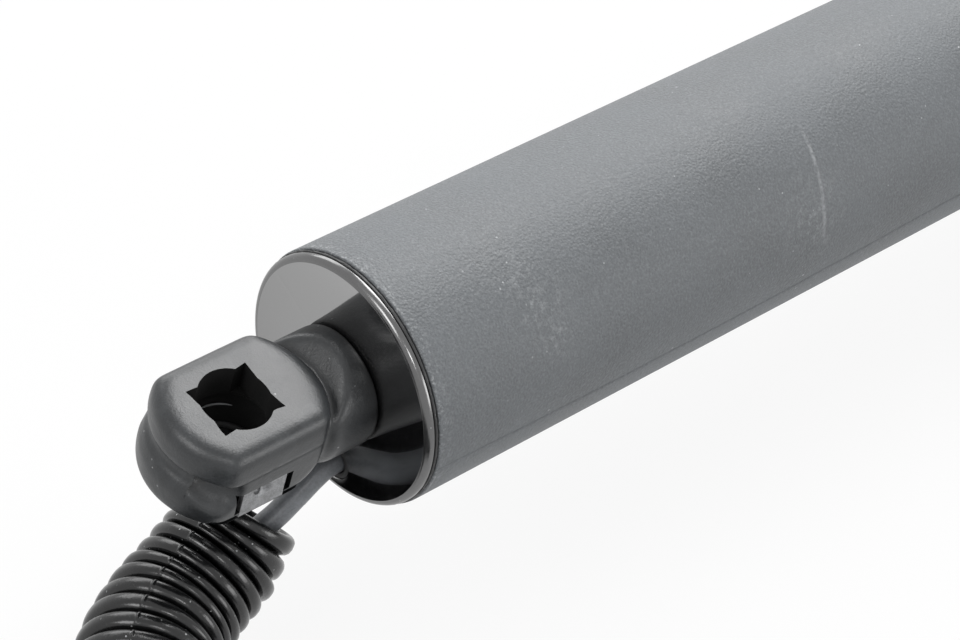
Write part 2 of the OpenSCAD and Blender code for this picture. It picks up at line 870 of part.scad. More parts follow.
hub_r = 7;
module planet_carrier() {
  carrier_r = gear_m * ring_teeth / 2 - 1.4;
  color("#8f9499") {
    bar(carrier_x, carrier_x + carrier_t, carrier_r);
    bar(carrier_x + carrier_t - eps, brake_x, hub_r);
    for (i = [0 : planet_count - 1])
      rotate([360 * i / planet_count, 0, 0])
        translate([0, planet_orbit, 0])
          bar(gear_x, carrier_x + eps, planet_pin_d / 2);
  }
}

module gear_cover() {
  color("#33373b")
    pipe(gear_cover_x, gear_end, inner_fit_r, hub_r + end_gap);
}

module brake_disc() {
  color("#5d6266")
    pipe(brake_x, brake_x + brake_t, inner_fit_r - 4, spindle_r + press_gap);
}

module brake_plate() {
  color("#70665a")
    pipe(brake_plate_x, brake_plate_x + brake_plate_t, inner_fit_r, spindle_r + end_gap + 0.6);
}

race_out_r = bearing_d / 2;
module bearing_carrier() {
  color("#3d4043")
    difference() {
      bar(bearing_carrier_x, bearing_end, inner_fit_r);
      bar(bearing_carrier_x - eps, bearing_end + eps, race_out_r - 2.4);
      bar(bearing_x, bearing_end + eps, race_out_r + press_gap);
    }
}

module bearing_track(r) {
  translate([bearing_x + bearing_w / 2, 0, 0])
    rotate([0, 90, 0])
      rotate_extrude($fn = 96)
        translate([track_r, 0])
          circle(r, $fn = 48);
}

module bearing_outer_race() {
  color("#c7cacd")
    difference() {
      pipe(bearing_x, bearing_end, race_out_r, outer_race_r);
      bearing_track(bearing_ball / 2 + track_gap);
    }
}

module bearing_inner_race() {
  color("#c7cacd")
    difference() {
      pipe(bearing_x, bearing_end, inner_race_r, spindle_r + press_gap);
      bearing_track(bearing_ball / 2 + track_gap);
    }
}

module bearing_spots() {
  for (i = [0 : bearing_count - 1])
    rotate([360 * i / bearing_count, 0, 0])
      translate([bearing_x + bearing_w / 2, track_r, 0])
        children();
}

module bearing_balls() {
  color("#dfe2e4")
    bearing_spots()
      sphere(bearing_ball / 2, $fn = 32);
}

module bearing_cage() {
  color("#a8925a")
    difference() {
      pipe(bearing_x + 1, bearing_end - 1, outer_race_r - 0.3, inner_race_r + 0.3);
      bearing_spots()
        rotate([90, 0, 0])
          cylinder(h = bearing_ball * 1.2, r = bearing_ball / 2 + track_gap, center = true, $fn = 32);
    }
}

module spindle() {
  color("#b9bcbf") {
    bar(brake_x, spindle_end - stop_len, spindle_r);
    bar(bearing_end + 0.02, bearing_end + 1.2, spindle_r + 1);
    bar(spindle_end - stop_len - eps, spindle_end, spindle_r - 2);
  }
}

module spindle_stop() {
  color("#8a8d90")
    pipe(spindle_end - stop_len, spindle_end - 0.5, push_r - push_wall - slide_gap - 0.2, spindle_r - 2 + press_gap);
}

module guide_tube() {
  color("#9aa0a5") {
    pipe(guide_x + 0.02, guide_end, guide_r, guide_bore / 2);
    pipe(guide_x + 0.02, guide_x + 1.5, race_out_r + 1.5, guide_bore / 2);
  }
}

module lower_spring_seat() {
  color("#2a2c2e")
    pipe(guide_x + 1.5, spring_seat_x, cover_bore_r - 0.4, guide_r + slide_gap);
}

// The spring's wire, one unbroken tube whose ends lie flat
spring_steps = 8;
spring_sides = 6;
spring_span = spring_end - spring_x - wire_d - 0.4;
spring_pitch = spring_span / (spring_turns - 1);
function spring_at(i) =
  let (turn = i / spring_steps, a = 360 * turn,
    run = min(max(turn - 0.5, 0), spring_turns - 1))
  [spring_x + wire_d / 2 + 0.2 + run * spring_pitch, spring_d / 2 * cos(a), spring_d / 2 * sin(a)];
function spring_ring(i) =
  let (a = 360 * i / spring_steps, out = [0, cos(a), sin(a)])
  [for (k = [0 : spring_sides - 1]) let (b = 360 * k / spring_sides)
    spring_at(i) + wire_d / 2 * (cos(b) * out + [sin(b), 0, 0])];
module compression_spring() {
  color("#5b6064")
    solid_tube([for (i = [0 : spring_turns * spring_steps]) spring_ring(i)]);
}

mouth_t = 5;
mouth_grip = 10;
wiper_t = 1.5;
wiper_w = 3.6;
module mouth_ring() {
  bore_r = cover_r + end_gap;
  color("#1d1e20")
    difference() {
      union() {
        bar(tube_end - mouth_grip, tube_end + mouth_t / 2, inner_fit_r);
        turned([
          [tube_end, 0], [tube_end, tube_r - 0.2], [tube_end + mouth_t - 1, tube_r - 0.2],
          [tube_end + mouth_t, tube_r - 1.2], [tube_end + mouth_t, 0]
        ]);
      }
      bar(tube_end - mouth_grip - 1, tube_end + mouth_t + 1, bore_r);
      bar(tube_end + mouth_t - wiper_w, tube_end + mouth_t + 1, cover_r + slide_gap + wiper_t);
    }
}

module wiper_seal() {
  out_r = cover_r + slide_gap + wiper_t - press_gap;
  x0 = tube_end + mouth_t - wiper_w + press_gap;
  color("#0f1011")
    turned([
      [x0, out_r], [x0 + wiper_w, out_r], [x0 + wiper_w + 0.7, cover_r + slide_gap + 0.5],
      [x0 + wiper_w + 0.7, cover_r + slide_gap], [x0, cover_r + slide_gap]
    ]);
}

module spindle_nut() {
  color("#d8d2c0")
    pipe(nut_x, nut_x + nut_len, nut_d / 2, spindle_r + run_gap);
}

module push_tube() {
  color("#b4b8bb")
    pipe(nut_x + nut_len, upper_plug_x + 4, push_r, push_r - push_wall);
}

module cover_tube() {
  color("#222426")
    pipe(cover_x, cover_end, cover_r, cover_bore_r);
}

module slide_ring() {
  color("#303336")
    pipe(cover_x + 0.5, cover_x + slide_ring_len, tube_bore_r - slide_gap, cover_r + press_gap);
}

module upper_spring_seat() {
  color("#2a2c2e")
    pipe(upper_plug_x - upper_seat_t, upper_plug_x, cover_bore_r - press_gap, push_r + press_gap);
}

module upper_end_cap() {
  rim_r = cover_r + 1;
  plug_r = cover_bore_r - press_gap;
  color("#101112")
    difference() {
      union() {
        turned([
          [upper_plug_x, 0], [upper_plug_x, plug_r], [cover_end, plug_r], [cover_end, rim_r],
          [upper_cap_x - cap_round, rim_r], [upper_cap_x - 0.3, rim_r - 0.25],
          [upper_cap_x, rim_r - cap_round], [upper_cap_x, 0]
        ]);
        bar(upper_cap_x - eps, upper_cap_x + spigot_len, spigot_d / 2);
      }
      bar(upper_plug_x - eps, upper_plug_x + 4, push_r + press_gap);
    }
}

module cable() {
  steps = 36;
  color("#3c4043")
    solid_tube([for (i = [0 : steps]) route_ring(cable_way, cord_len * i / steps, cable_r, 8)]);
}

// Crest radius of rib i, which grows from the first rib on
function crest_r(i) = bellows_d / 2 * lookup(i, [[0, 0.82], [1, 0.885], [14, 1]]);
module bellows() {
  hole_r = cable_r + 0.12;
  bore_step = 2;
  cuff_r = cuff_d / 2;
  s0 = mouth_s + cuff_len;
  color("#191a1b")
    hollow_tube(concat(
      [route_ring(bellows_way, mouth_s, cuff_r - 0.6, 8), route_ring(bellows_way, mouth_s + 0.5, cuff_r, 8)],
      [route_ring(bellows_way, s0 - 0.8, cuff_r, 8)],
      [for (i = [0 : rib_count - 1], h = [0, 1]) let (s = s0 + (i + h / 2) * rib_pitch)
        route_ring(bellows_way, s, crest_r(i) - (h == 1 ? 0 : rib_depth), 8)],
      [route_ring(bellows_way, bellows_end_s, hole_r, 8), route_ring(bellows_way, bellows_end_s - 2, hole_r, 8)],
      [for (i = [rib_count - 1 : -bore_step : 1]) let (s = s0 + i * rib_pitch)
        route_ring(bellows_way, s, crest_r(i - 1) - rib_depth - bellows_wall, 8)],
      [route_ring(bellows_way, mouth_s, cuff_r - bellows_wall - 0.9, 8)]
    ));
}

// Stands a piece on a route at length s, its local Z along the route
module on_route(w, s) {
  t = heading(w, s);
  translate(at(w, s))
    rotate([0, acos(t[2]), atan2(t[1], t[0])])
      children();
}

module body_grommet() {
  flange_r = bellows_d / 2;
  waist_r = flange_r - 2;
  color("#151617")
    on_route(bellows_way, bellows_end_s + grommet_len / 2)
      translate([0, 0, -grommet_len / 2 + 0.2])
        rotate_extrude()
          polygon([
            [cable_r + 0.25, 0], [flange_r, 0], [flange_r, 3], [waist_r, 3.4], [waist_r, 6],
            [flange_r, 6.4], [flange_r - 1.6, 9], [cable_r + 2.2, grommet_len - 1], [cable_r + 0.25, grommet_len - 1]
          ]);
}

connector_w = 16;
connector_h = 13;
connector_len = 24;
plug_room = 14;
connector_y = cable_route[len(cable_route) - 1][1] + 0.1;
connector_x = cable_route[len(cable_route) - 1][0];
module connector() {
  wall = 1.4;
  z0 = floor_z + 0.3;
  color("#202224")
    translate([connector_x, connector_y, z0])
      difference() {
        translate([-connector_w / 2, 0, 0])
          cube([connector_w, connector_len, connector_h]);
        translate([-connector_w / 2 + wall, connector_len - plug_room, wall])
          cube([connector_w - 2 * wall, plug_room + 1, connector_h - 2 * wall]);
        for (s = [-1, 1])
          translate([s * (connector_w / 2), 4, connector_h / 2])
            cube([1.2, 5, 3], center = true);
      }
}

module connector_lock() {
  color("#b9b5aa")
    translate([connector_x - 3, connector_y + 4, floor_z + 0.3 + connector_h]) {
      cube([6, 16, 1.2]);
      translate([0, 12, 1.2])
        cube([6, 1.6, 1]);
    }
}

echo(cord_length = cord_len, bellows_end = at(bellows_way, bellows_end_s), grommet_end = at(bellows_way, grommet_end_s),
  bellows_way = bellows_way[0]);
echo(spring_gap = spring_pitch - wire_d);

housing_tube();
lower_end_cap();
cap_seal_ring();
lower_ball_socket();
lower_clip();
cable_gland();
sensor_board();
motor_dampers();
motor_can();
motor_magnets();
brush_plate();
brushes();
armature_core();
armature_windings();
commutator();
sun_shaft();
front_bush();
ring_gear();
planet_gear_1();
planet_gear_2();
planet_gear_3();
planet_carrier();
gear_cover();
brake_disc();
brake_plate();
bearing_carrier();
bearing_outer_race();
bearing_inner_race();
bearing_balls();
bearing_cage();
spindle();
spindle_stop();
guide_tube();
lower_spring_seat();
compression_spring();
mouth_ring();
wiper_seal();
spindle_nut();
push_tube();
cover_tube();
slide_ring();
upper_spring_seat();
upper_end_cap();
upper_ball_socket();
upper_clip();
cable();
bellows();
body_grommet();
connector();
connector_lock();
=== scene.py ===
import math
import random
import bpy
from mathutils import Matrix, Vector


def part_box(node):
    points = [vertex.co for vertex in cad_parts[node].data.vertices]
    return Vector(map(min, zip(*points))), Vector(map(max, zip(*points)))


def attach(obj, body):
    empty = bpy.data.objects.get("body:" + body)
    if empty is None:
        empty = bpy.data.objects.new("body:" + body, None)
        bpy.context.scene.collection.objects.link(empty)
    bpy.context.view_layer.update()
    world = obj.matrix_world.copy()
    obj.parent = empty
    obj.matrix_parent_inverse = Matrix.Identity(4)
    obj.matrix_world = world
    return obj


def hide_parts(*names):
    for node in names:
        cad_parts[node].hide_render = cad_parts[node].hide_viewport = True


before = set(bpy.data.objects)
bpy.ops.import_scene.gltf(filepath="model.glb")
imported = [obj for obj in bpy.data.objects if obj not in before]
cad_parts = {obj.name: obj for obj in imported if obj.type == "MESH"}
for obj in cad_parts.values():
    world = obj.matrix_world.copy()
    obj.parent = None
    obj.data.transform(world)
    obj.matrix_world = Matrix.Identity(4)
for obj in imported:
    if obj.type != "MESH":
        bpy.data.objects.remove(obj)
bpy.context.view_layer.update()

from types import SimpleNamespace as Values

import bmesh
import bpy
from mathutils import Matrix, Vector, noise

# Powered tailgate strut, closed. The sizes of its pieces are in millimetres from the centre of the
# lower ball, with X along the strut and Z up, and become metres when a mesh is made.
mm = 0.001
tiny = 1e-6
scene = bpy.context.scene


def placed(name, data):
    thing = bpy.data.objects.new(name, data)
    scene.collection.objects.link(thing)
    return thing


print("stage: camera")
camera = {
    "place": (-230.81, -203.55, 356.51),
    "right": (0.74052602, -0.6361871, 0.21653451),
    "up": (0.36943842, 0.65453811, 0.6596174),
    "back": (-0.56137017, -0.40846768, 0.71973445),
    "lens": 125.33,
    "sensor": 36.0,
    "clip": (0.02, 20),  # metres
}


def placeCamera():
    data = bpy.data.cameras.new("camera")
    data.lens, data.sensor_width = camera["lens"], camera["sensor"]
    data.clip_start, data.clip_end = camera["clip"]
    turn = Matrix((camera["right"], camera["up"], camera["back"])).transposed().to_4x4()
    scene.camera = placed("camera", data)
    scene.camera.matrix_world = Matrix.Translation(Vector(camera["place"]) * mm) @ turn


placeCamera()


def meshObject(name, verts, faces):
    # An object from points in millimetres, with all its faces turned outwards
    mesh = bpy.data.meshes.new(name)
    mesh.from_pydata([Vector(v) * mm for v in verts], [], faces)
    shell = bmesh.new()
    shell.from_mesh(mesh)
    bmesh.ops.recalc_face_normals(shell, faces=shell.faces)
    shell.to_mesh(mesh)
    shell.free()
    return placed(name, mesh)


def dress(piece, body, finish, stands=(), sharp=32):
    # Finish, body and the CAD parts that the piece stands for
    piece.data.materials.clear()
    piece.data.materials.append(finishes[finish])
    piece.data.shade_smooth()
    if sharp:
        piece.data.set_sharp_from_angle(angle=math.radians(sharp))
    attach(piece, body)
    if stands:
        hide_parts(*stands)
    return piece


def newPiece(name, verts, faces, body, finish, stands=(), sharp=32):
    return dress(meshObject(name, verts, faces), body, finish, stands, sharp)


def baked(piece):
    # Applies the modifiers
    bpy.context.view_layer.update()
    seen = piece.evaluated_get(bpy.context.evaluated_depsgraph_get())
    mesh = bpy.data.meshes.new_from_object(seen)
    piece.modifiers.clear()
    piece.data = mesh


def cutBy(piece, tool, solver):
    cut = piece.modifiers.new("cut", "BOOLEAN")
    cut.object, cut.operation, cut.solver = tool, "DIFFERENCE", solver
    baked(piece)
    bpy.data.objects.remove(tool)


def secondFinish(piece, finish, inside):
    # Another finish on the faces whose middle, in millimetres, is inside
    piece.data.materials.append(finishes[finish])
    for face in piece.data.polygons:
        if inside(*(face.center / mm)):
            face.material_index = 1


def rounded(corners, steps):
    # Closed profile of (x, r, corner radius) with true arcs at its corners
    out = []
    count = len(corners)
    for i, (x, r, radius) in enumerate(corners):
        here = Vector((x, r))
        before = Vector(corners[i - 1][:2]) - here
        after = Vector(corners[(i + 1) % count][:2]) - here
        if not radius or before.length < tiny or after.length < tiny:
            out.append((x, r))
            continue
        half = before.angle(after) / 2
        reach = min(radius / math.tan(half), before.length * 0.49, after.length * 0.49)
        real = reach * math.tan(half)
        a, b = here + before.normalized() * reach, here + after.normalized() * reach
        middle = here + (before.normalized() + after.normalized()).normalized() * (real / math.sin(half))
        for k in range(steps + 1):
            way = (a - middle).lerp(b - middle, k / steps).normalized() * real
            out.append(tuple(middle + way))
    return out


def turned(profile, sides, at=(0, 0), wobble=None):
    # A closed profile of (x, r) turned about a line along X
    verts, rings, faces = [], [], []
    for x, r in profile:
        if r < tiny:
            rings.append([len(verts)])
            verts.append((x, at[0], at[1]))
            continue
        rings.append(range(len(verts), len(verts) + sides))
        for k in range(sides):
            a = 2 * math.pi * k / sides
            rr = r + (wobble(x, a) if wobble else 0)
            verts.append((x, at[0] + rr * math.cos(a), at[1] + rr * math.sin(a)))
    for a, b in zip(rings, rings[1:] + rings[:1]):
        for k in range(sides):
            n = (k + 1) % sides
            if len(a) == 1 and len(b) == 1:
                break
            if len(a) == 1:
                faces.append((a[0], b[n], b[k]))
            elif len(b) == 1:
                faces.append((a[k], a[n], b[0]))
            else:
                faces.append((a[k], a[n], b[n], b[k]))
    return verts, faces


def skinned(rings, closed=False):
    # Quads between rings of the same count, with flat ends or the last ring joined to the first
    sides = len(rings[0])
    verts = [p for ring in rings for p in ring]
    faces = []
    for i in range(len(rings) if closed else len(rings) - 1):
        a, b = i * sides, ((i + 1) % len(rings)) * sides
        for k in range(sides):
            n = (k + 1) % sides
            faces.append((a + k, a + n, b + n, b + k))
    if not closed:
        last = (len(rings) - 1) * sides
        faces.append(tuple(range(sides)))
        faces.append(tuple(range(last, last + sides)))
    return verts, faces


def joined(parts):
    verts, faces = [], []
    for v, f in parts:
        faces += [tuple(i + len(verts) for i in face) for face in f]
        verts += v
    return verts, faces


def lumps(point, size, height):
    return noise.noise(Vector(point) / size) * height


print("stage: finishes")


def wire(tree, kind, links=None, **values):
    # A node with its plain values, and links from other nodes' sockets to its inputs
    node = tree.nodes.new(kind)
    for key, value in values.items():
        setattr(node, key, value)
    for socket, source in (links or {}).items():
        if isinstance(source, bpy.types.NodeSocket):
            tree.links.new(source, node.inputs[socket])
        else:
            node.inputs[socket].default_value = source
    return node


def tone(tree, factor, low, high, colours):
    # A ramp from one colour to another between two values of the factor
    ramp = wire(tree, "ShaderNodeValToRGB", {"Fac": factor})
    ramp.color_ramp.elements[0].position, ramp.color_ramp.elements[1].position = low, high
    for element, colour in zip(ramp.color_ramp.elements, colours):
        element.color = (*colour, 1)
    return ramp.outputs["Color"]


def spread(tree, factor, low, high, fromLow=0.3, fromHigh=0.7):
    change = wire(tree, "ShaderNodeMapRange", {"Value": factor, "From Min": fromLow, "From Max": fromHigh,
                                               "To Min": low, "To Max": high})
    return change.outputs["Result"]


def sums(tree, kind, a, b=0.5):
    return wire(tree, "ShaderNodeMath", {0: a, 1: b}, operation=kind).outputs[0]


def times(tree, a, b):
    return sums(tree, "MULTIPLY", a, b)


def plus(tree, a, b):
    return sums(tree, "ADD", a, b)


def blended(tree, factor, a, b):
    mix = wire(tree, "ShaderNodeMix", {"Factor": factor}, data_type="RGBA")
    for index, value in ((6, a), (7, b)):  # the node's two colours
        if isinstance(value, bpy.types.NodeSocket):
            tree.links.new(value, mix.inputs[index])
        else:
            mix.inputs[index].default_value = (*value, 1)
    return mix.outputs[2]


def cloud(tree, place, size, detail=3, rough=0.5, bend=0.0):
    # Noise whose features are about size millimetres across
    node = wire(tree, "ShaderNodeTexNoise", {"Vector": place, "Scale": 1000 / size, "Detail": detail,
                                             "Roughness": rough, "Distortion": bend})
    return node.outputs["Fac"]


def specks(tree, place, gap, size):
    # Small spots about size millimetres across, scattered gap millimetres apart
    cells = wire(tree, "ShaderNodeTexVoronoi", {"Vector": place, "Scale": 1000 / gap, "Randomness": 1.0})
    edge = size / gap / 2
    return spread(tree, cells.outputs["Distance"], 1, 0, edge * 0.7, edge * 1.2)


def distanceTo(tree, place, point):
    point = tuple(v * mm for v in point)
    return wire(tree, "ShaderNodeVectorMath", {0: place, 1: point}, operation="DISTANCE").outputs["Value"]


def arcMask(tree, place, arc):
    # A thin line round a centre, shown within reach of the point near
    width, reach = arc["width"] * mm, arc["reach"] * mm
    out = sums(tree, "SUBTRACT", distanceTo(tree, place, arc["centre"]), arc["radius"] * mm)
    off = sums(tree, "ABSOLUTE", out)
    line = spread(tree, off, 1, 0, width * 0.3, width)
    inside = spread(tree, distanceTo(tree, place, arc["near"]), 1, 0, reach * 0.7, reach)
    return times(tree, line, inside)


# What a finish has where its plan says nothing else. Sizes in millimetres, and dust is the gap
# between specks, their size and their strength.
plain = {"patch": 3, "grain": 0.3, "grainHeight": 0.02, "swing": 0.2, "metal": 0, "lineMix": 0.35,
         "lineHeight": 0.01, "lineShade": 0.6, "dustColour": (0.55, 0.56, 0.57), "hollowShade": 0.12}


def madeFinish(slot, changes):
    plan = {**plain, **changes}
    material = bpy.data.materials.new(slot)
    material.use_nodes = True
    tree = material.node_tree
    shader = tree.nodes["Principled BSDF"]
    place = wire(tree, "ShaderNodeTexCoord").outputs["Object"]
    patch = cloud(tree, place, plan["patch"], 4, 0.55)
    grain = cloud(tree, place, plan["grain"], 2, 0.6)
    base, swing = plan["colour"], plan["swing"]
    low = tuple(c * (1 - swing) for c in base)
    high = tuple(min(1, c * (1 + swing)) for c in base)
    both = plus(tree, times(tree, patch, 0.5), times(tree, grain, 0.5))
    colour = tone(tree, both, 0.36, 0.64, (low, high))
    rough = spread(tree, both, *plan["rough"], 0.35, 0.65)
    height = times(tree, grain, plan["grainHeight"])
    if "lines" in plan:
        # Turning or drawing marks round or along the piece
        along = wire(tree, "ShaderNodeMapping", {"Vector": place, "Scale": plan["lines"]}).outputs[0]
        marks = cloud(tree, along, 1.0, 2, 0.6)
        shade = tuple(c * plan["lineShade"] for c in base)
        colour = blended(tree, spread(tree, marks, 0, plan["lineMix"]), colour, shade)
        height = plus(tree, height, times(tree, marks, plan["lineHeight"]))
    if "dust" in plan:
        # Specks with uneven outlines, thicker in some places than in others
        gap, size, strength = plan["dust"]
        stir = wire(tree, "ShaderNodeTexNoise", {"Vector": place, "Scale": 2500.0}).outputs["Color"]
        shift = wire(tree, "ShaderNodeVectorMath", {0: stir, "Scale": size * mm * 0.9}, operation="SCALE")
        warped = wire(tree, "ShaderNodeVectorMath", {0: place, 1: shift.outputs[0]}, operation="ADD")
        spots = specks(tree, warped.outputs[0], gap, size)
        where = spread(tree, cloud(tree, place, 9, 2), 0, 1, 0.42, 0.6)
        spots = times(tree, times(tree, spots, where), strength)
        colour = blended(tree, spots, colour, plan["dustColour"])
        rough = sums(tree, "MAXIMUM", rough, spots)
    if "special" in plan:
        colour, height = plan["special"](tree, place, colour, height)
    if "shadeInHollows" in plan:
        # Painted shade: the colour is darkened towards near black where a place is shut in
        reach, depth = plan["shadeInHollows"]
        openness = wire(tree, "ShaderNodeAmbientOcclusion", {"Distance": reach * mm}, samples=6)
        shut = spread(tree, openness.outputs["AO"], depth, 0, 0.25, 0.85)
        colour = blended(tree, shut, colour, tuple(c * plan["hollowShade"] for c in base))
    tree.links.new(colour, shader.inputs["Base Color"])
    tree.links.new(rough, shader.inputs["Roughness"])
    bump = wire(tree, "ShaderNodeBump", {"Height": height, "Distance": mm, "Strength": 1.0})
    tree.links.new(bump.outputs["Normal"], shader.inputs["Normal"])
    shader.inputs["Metallic"].default_value = plan["metal"]
    for socket, value in plan.get("sockets", {}).items():
        shader.inputs[socket].default_value = value
    return material


# Places are from the lower ball's centre, and each scuff has its place and its reach
coat = {
    "leather": {"colour": (0.19, 0.2, 0.21), "size": 0.38, "cells": 2300.0, "height": 0.07},
    "scuffs": (((43.1, -6.9, 18.8), 6), ((44.5, -12, 16), 7), ((46, -16.2, 11.8), 6), ((100, -17, 10), 9)),
    "scuff": {"colour": (0.3, 0.312, 0.32), "size": 1.1, "strength": 0.48},
    "chips": {"colour": (0.4, 0.41, 0.42), "size": 0.65, "strength": 0.6, "from": 22.7, "to": 25.4},
    "scratch": {"centre": (85, 2.66, -0.32), "radius": 28.05, "width": 0.28, "near": (102.2, -14.4, 13.9),
                "reach": 10, "colour": (0.5, 0.51, 0.52), "strength": 0.32, "depth": 0.03},
}


def tubeCoat(tree, place, colour, height):
    # Fine leathery grain, pale scuffs, chips and one long curved scratch
    leather, scuff, chips, scratch = coat["leather"], coat["scuff"], coat["chips"], coat["scratch"]
    fine = cloud(tree, place, leather["size"], 3, 0.7)
    cells = wire(tree, "ShaderNodeTexVoronoi", {"Vector": place, "Scale": leather["cells"]})
    height = plus(tree, height, times(tree, cells.outputs["Distance"], leather["height"]))
    colour = blended(tree, spread(tree, fine, 0, 0.6, 0.46, 0.7), colour, leather["colour"])
    scuffed = 0.0
    for point, reach in coat["scuffs"]:
        mask = spread(tree, distanceTo(tree, place, point), 1, 0, reach * mm * 0.2, reach * mm)
        scuffed = sums(tree, "MAXIMUM", scuffed, mask)
    broken = spread(tree, cloud(tree, place, scuff["size"], 5, 0.75), 0, 1, 0.5, 0.66)
    scuffed = times(tree, times(tree, scuffed, broken), scuff["strength"])
    colour = blended(tree, scuffed, colour, scuff["colour"])
    # The coating is chipped along the edge by the cap
    along = wire(tree, "ShaderNodeSeparateXYZ", {"Vector": place}).outputs["X"]
    edge = spread(tree, along, 1, 0, chips["from"] * mm, chips["to"] * mm)
    flakes = spread(tree, cloud(tree, place, chips["size"], 4, 0.7), 0, chips["strength"], 0.52, 0.64)
    colour = blended(tree, times(tree, edge, flakes), colour, chips["colour"])
    uneven = spread(tree, cloud(tree, place, 0.9, 3), 0.15, 1, 0.35, 0.6)
    line = times(tree, arcMask(tree, place, scratch), uneven)
    colour = blended(tree, times(tree, line, scratch["strength"]), colour, scratch["colour"])
    height = sums(tree, "SUBTRACT", height, times(tree, line, scratch["depth"]))
    return colour, height


flowMarks = {"size": 5, "bend": 1.2, "colour": (0.055, 0.059, 0.063), "strength": 0.3, "height": 0.08}


def moulding(tree, place, colour, height):
    # Faint flow marks and rubbed places in glass-filled nylon
    f = Values(**flowMarks)
    flow = cloud(tree, place, f.size, 4, 0.6, f.bend)
    colour = blended(tree, spread(tree, flow, 0, f.strength, 0.52, 0.7), colour, f.colour)
    return colour, plus(tree, height, times(tree, flow, f.height))


flowLine = {"centre": (20.8, 26, -34), "radius": 42.3, "width": 0.35, "near": (20.8, 11.5, 7.2), "reach": 7,
            "height": 0.012}


def polish(tree, place, colour, height):
    # One flow line from the moulding
    line = arcMask(tree, place, flowLine)
    return colour, plus(tree, height, times(tree, line, flowLine["height"]))


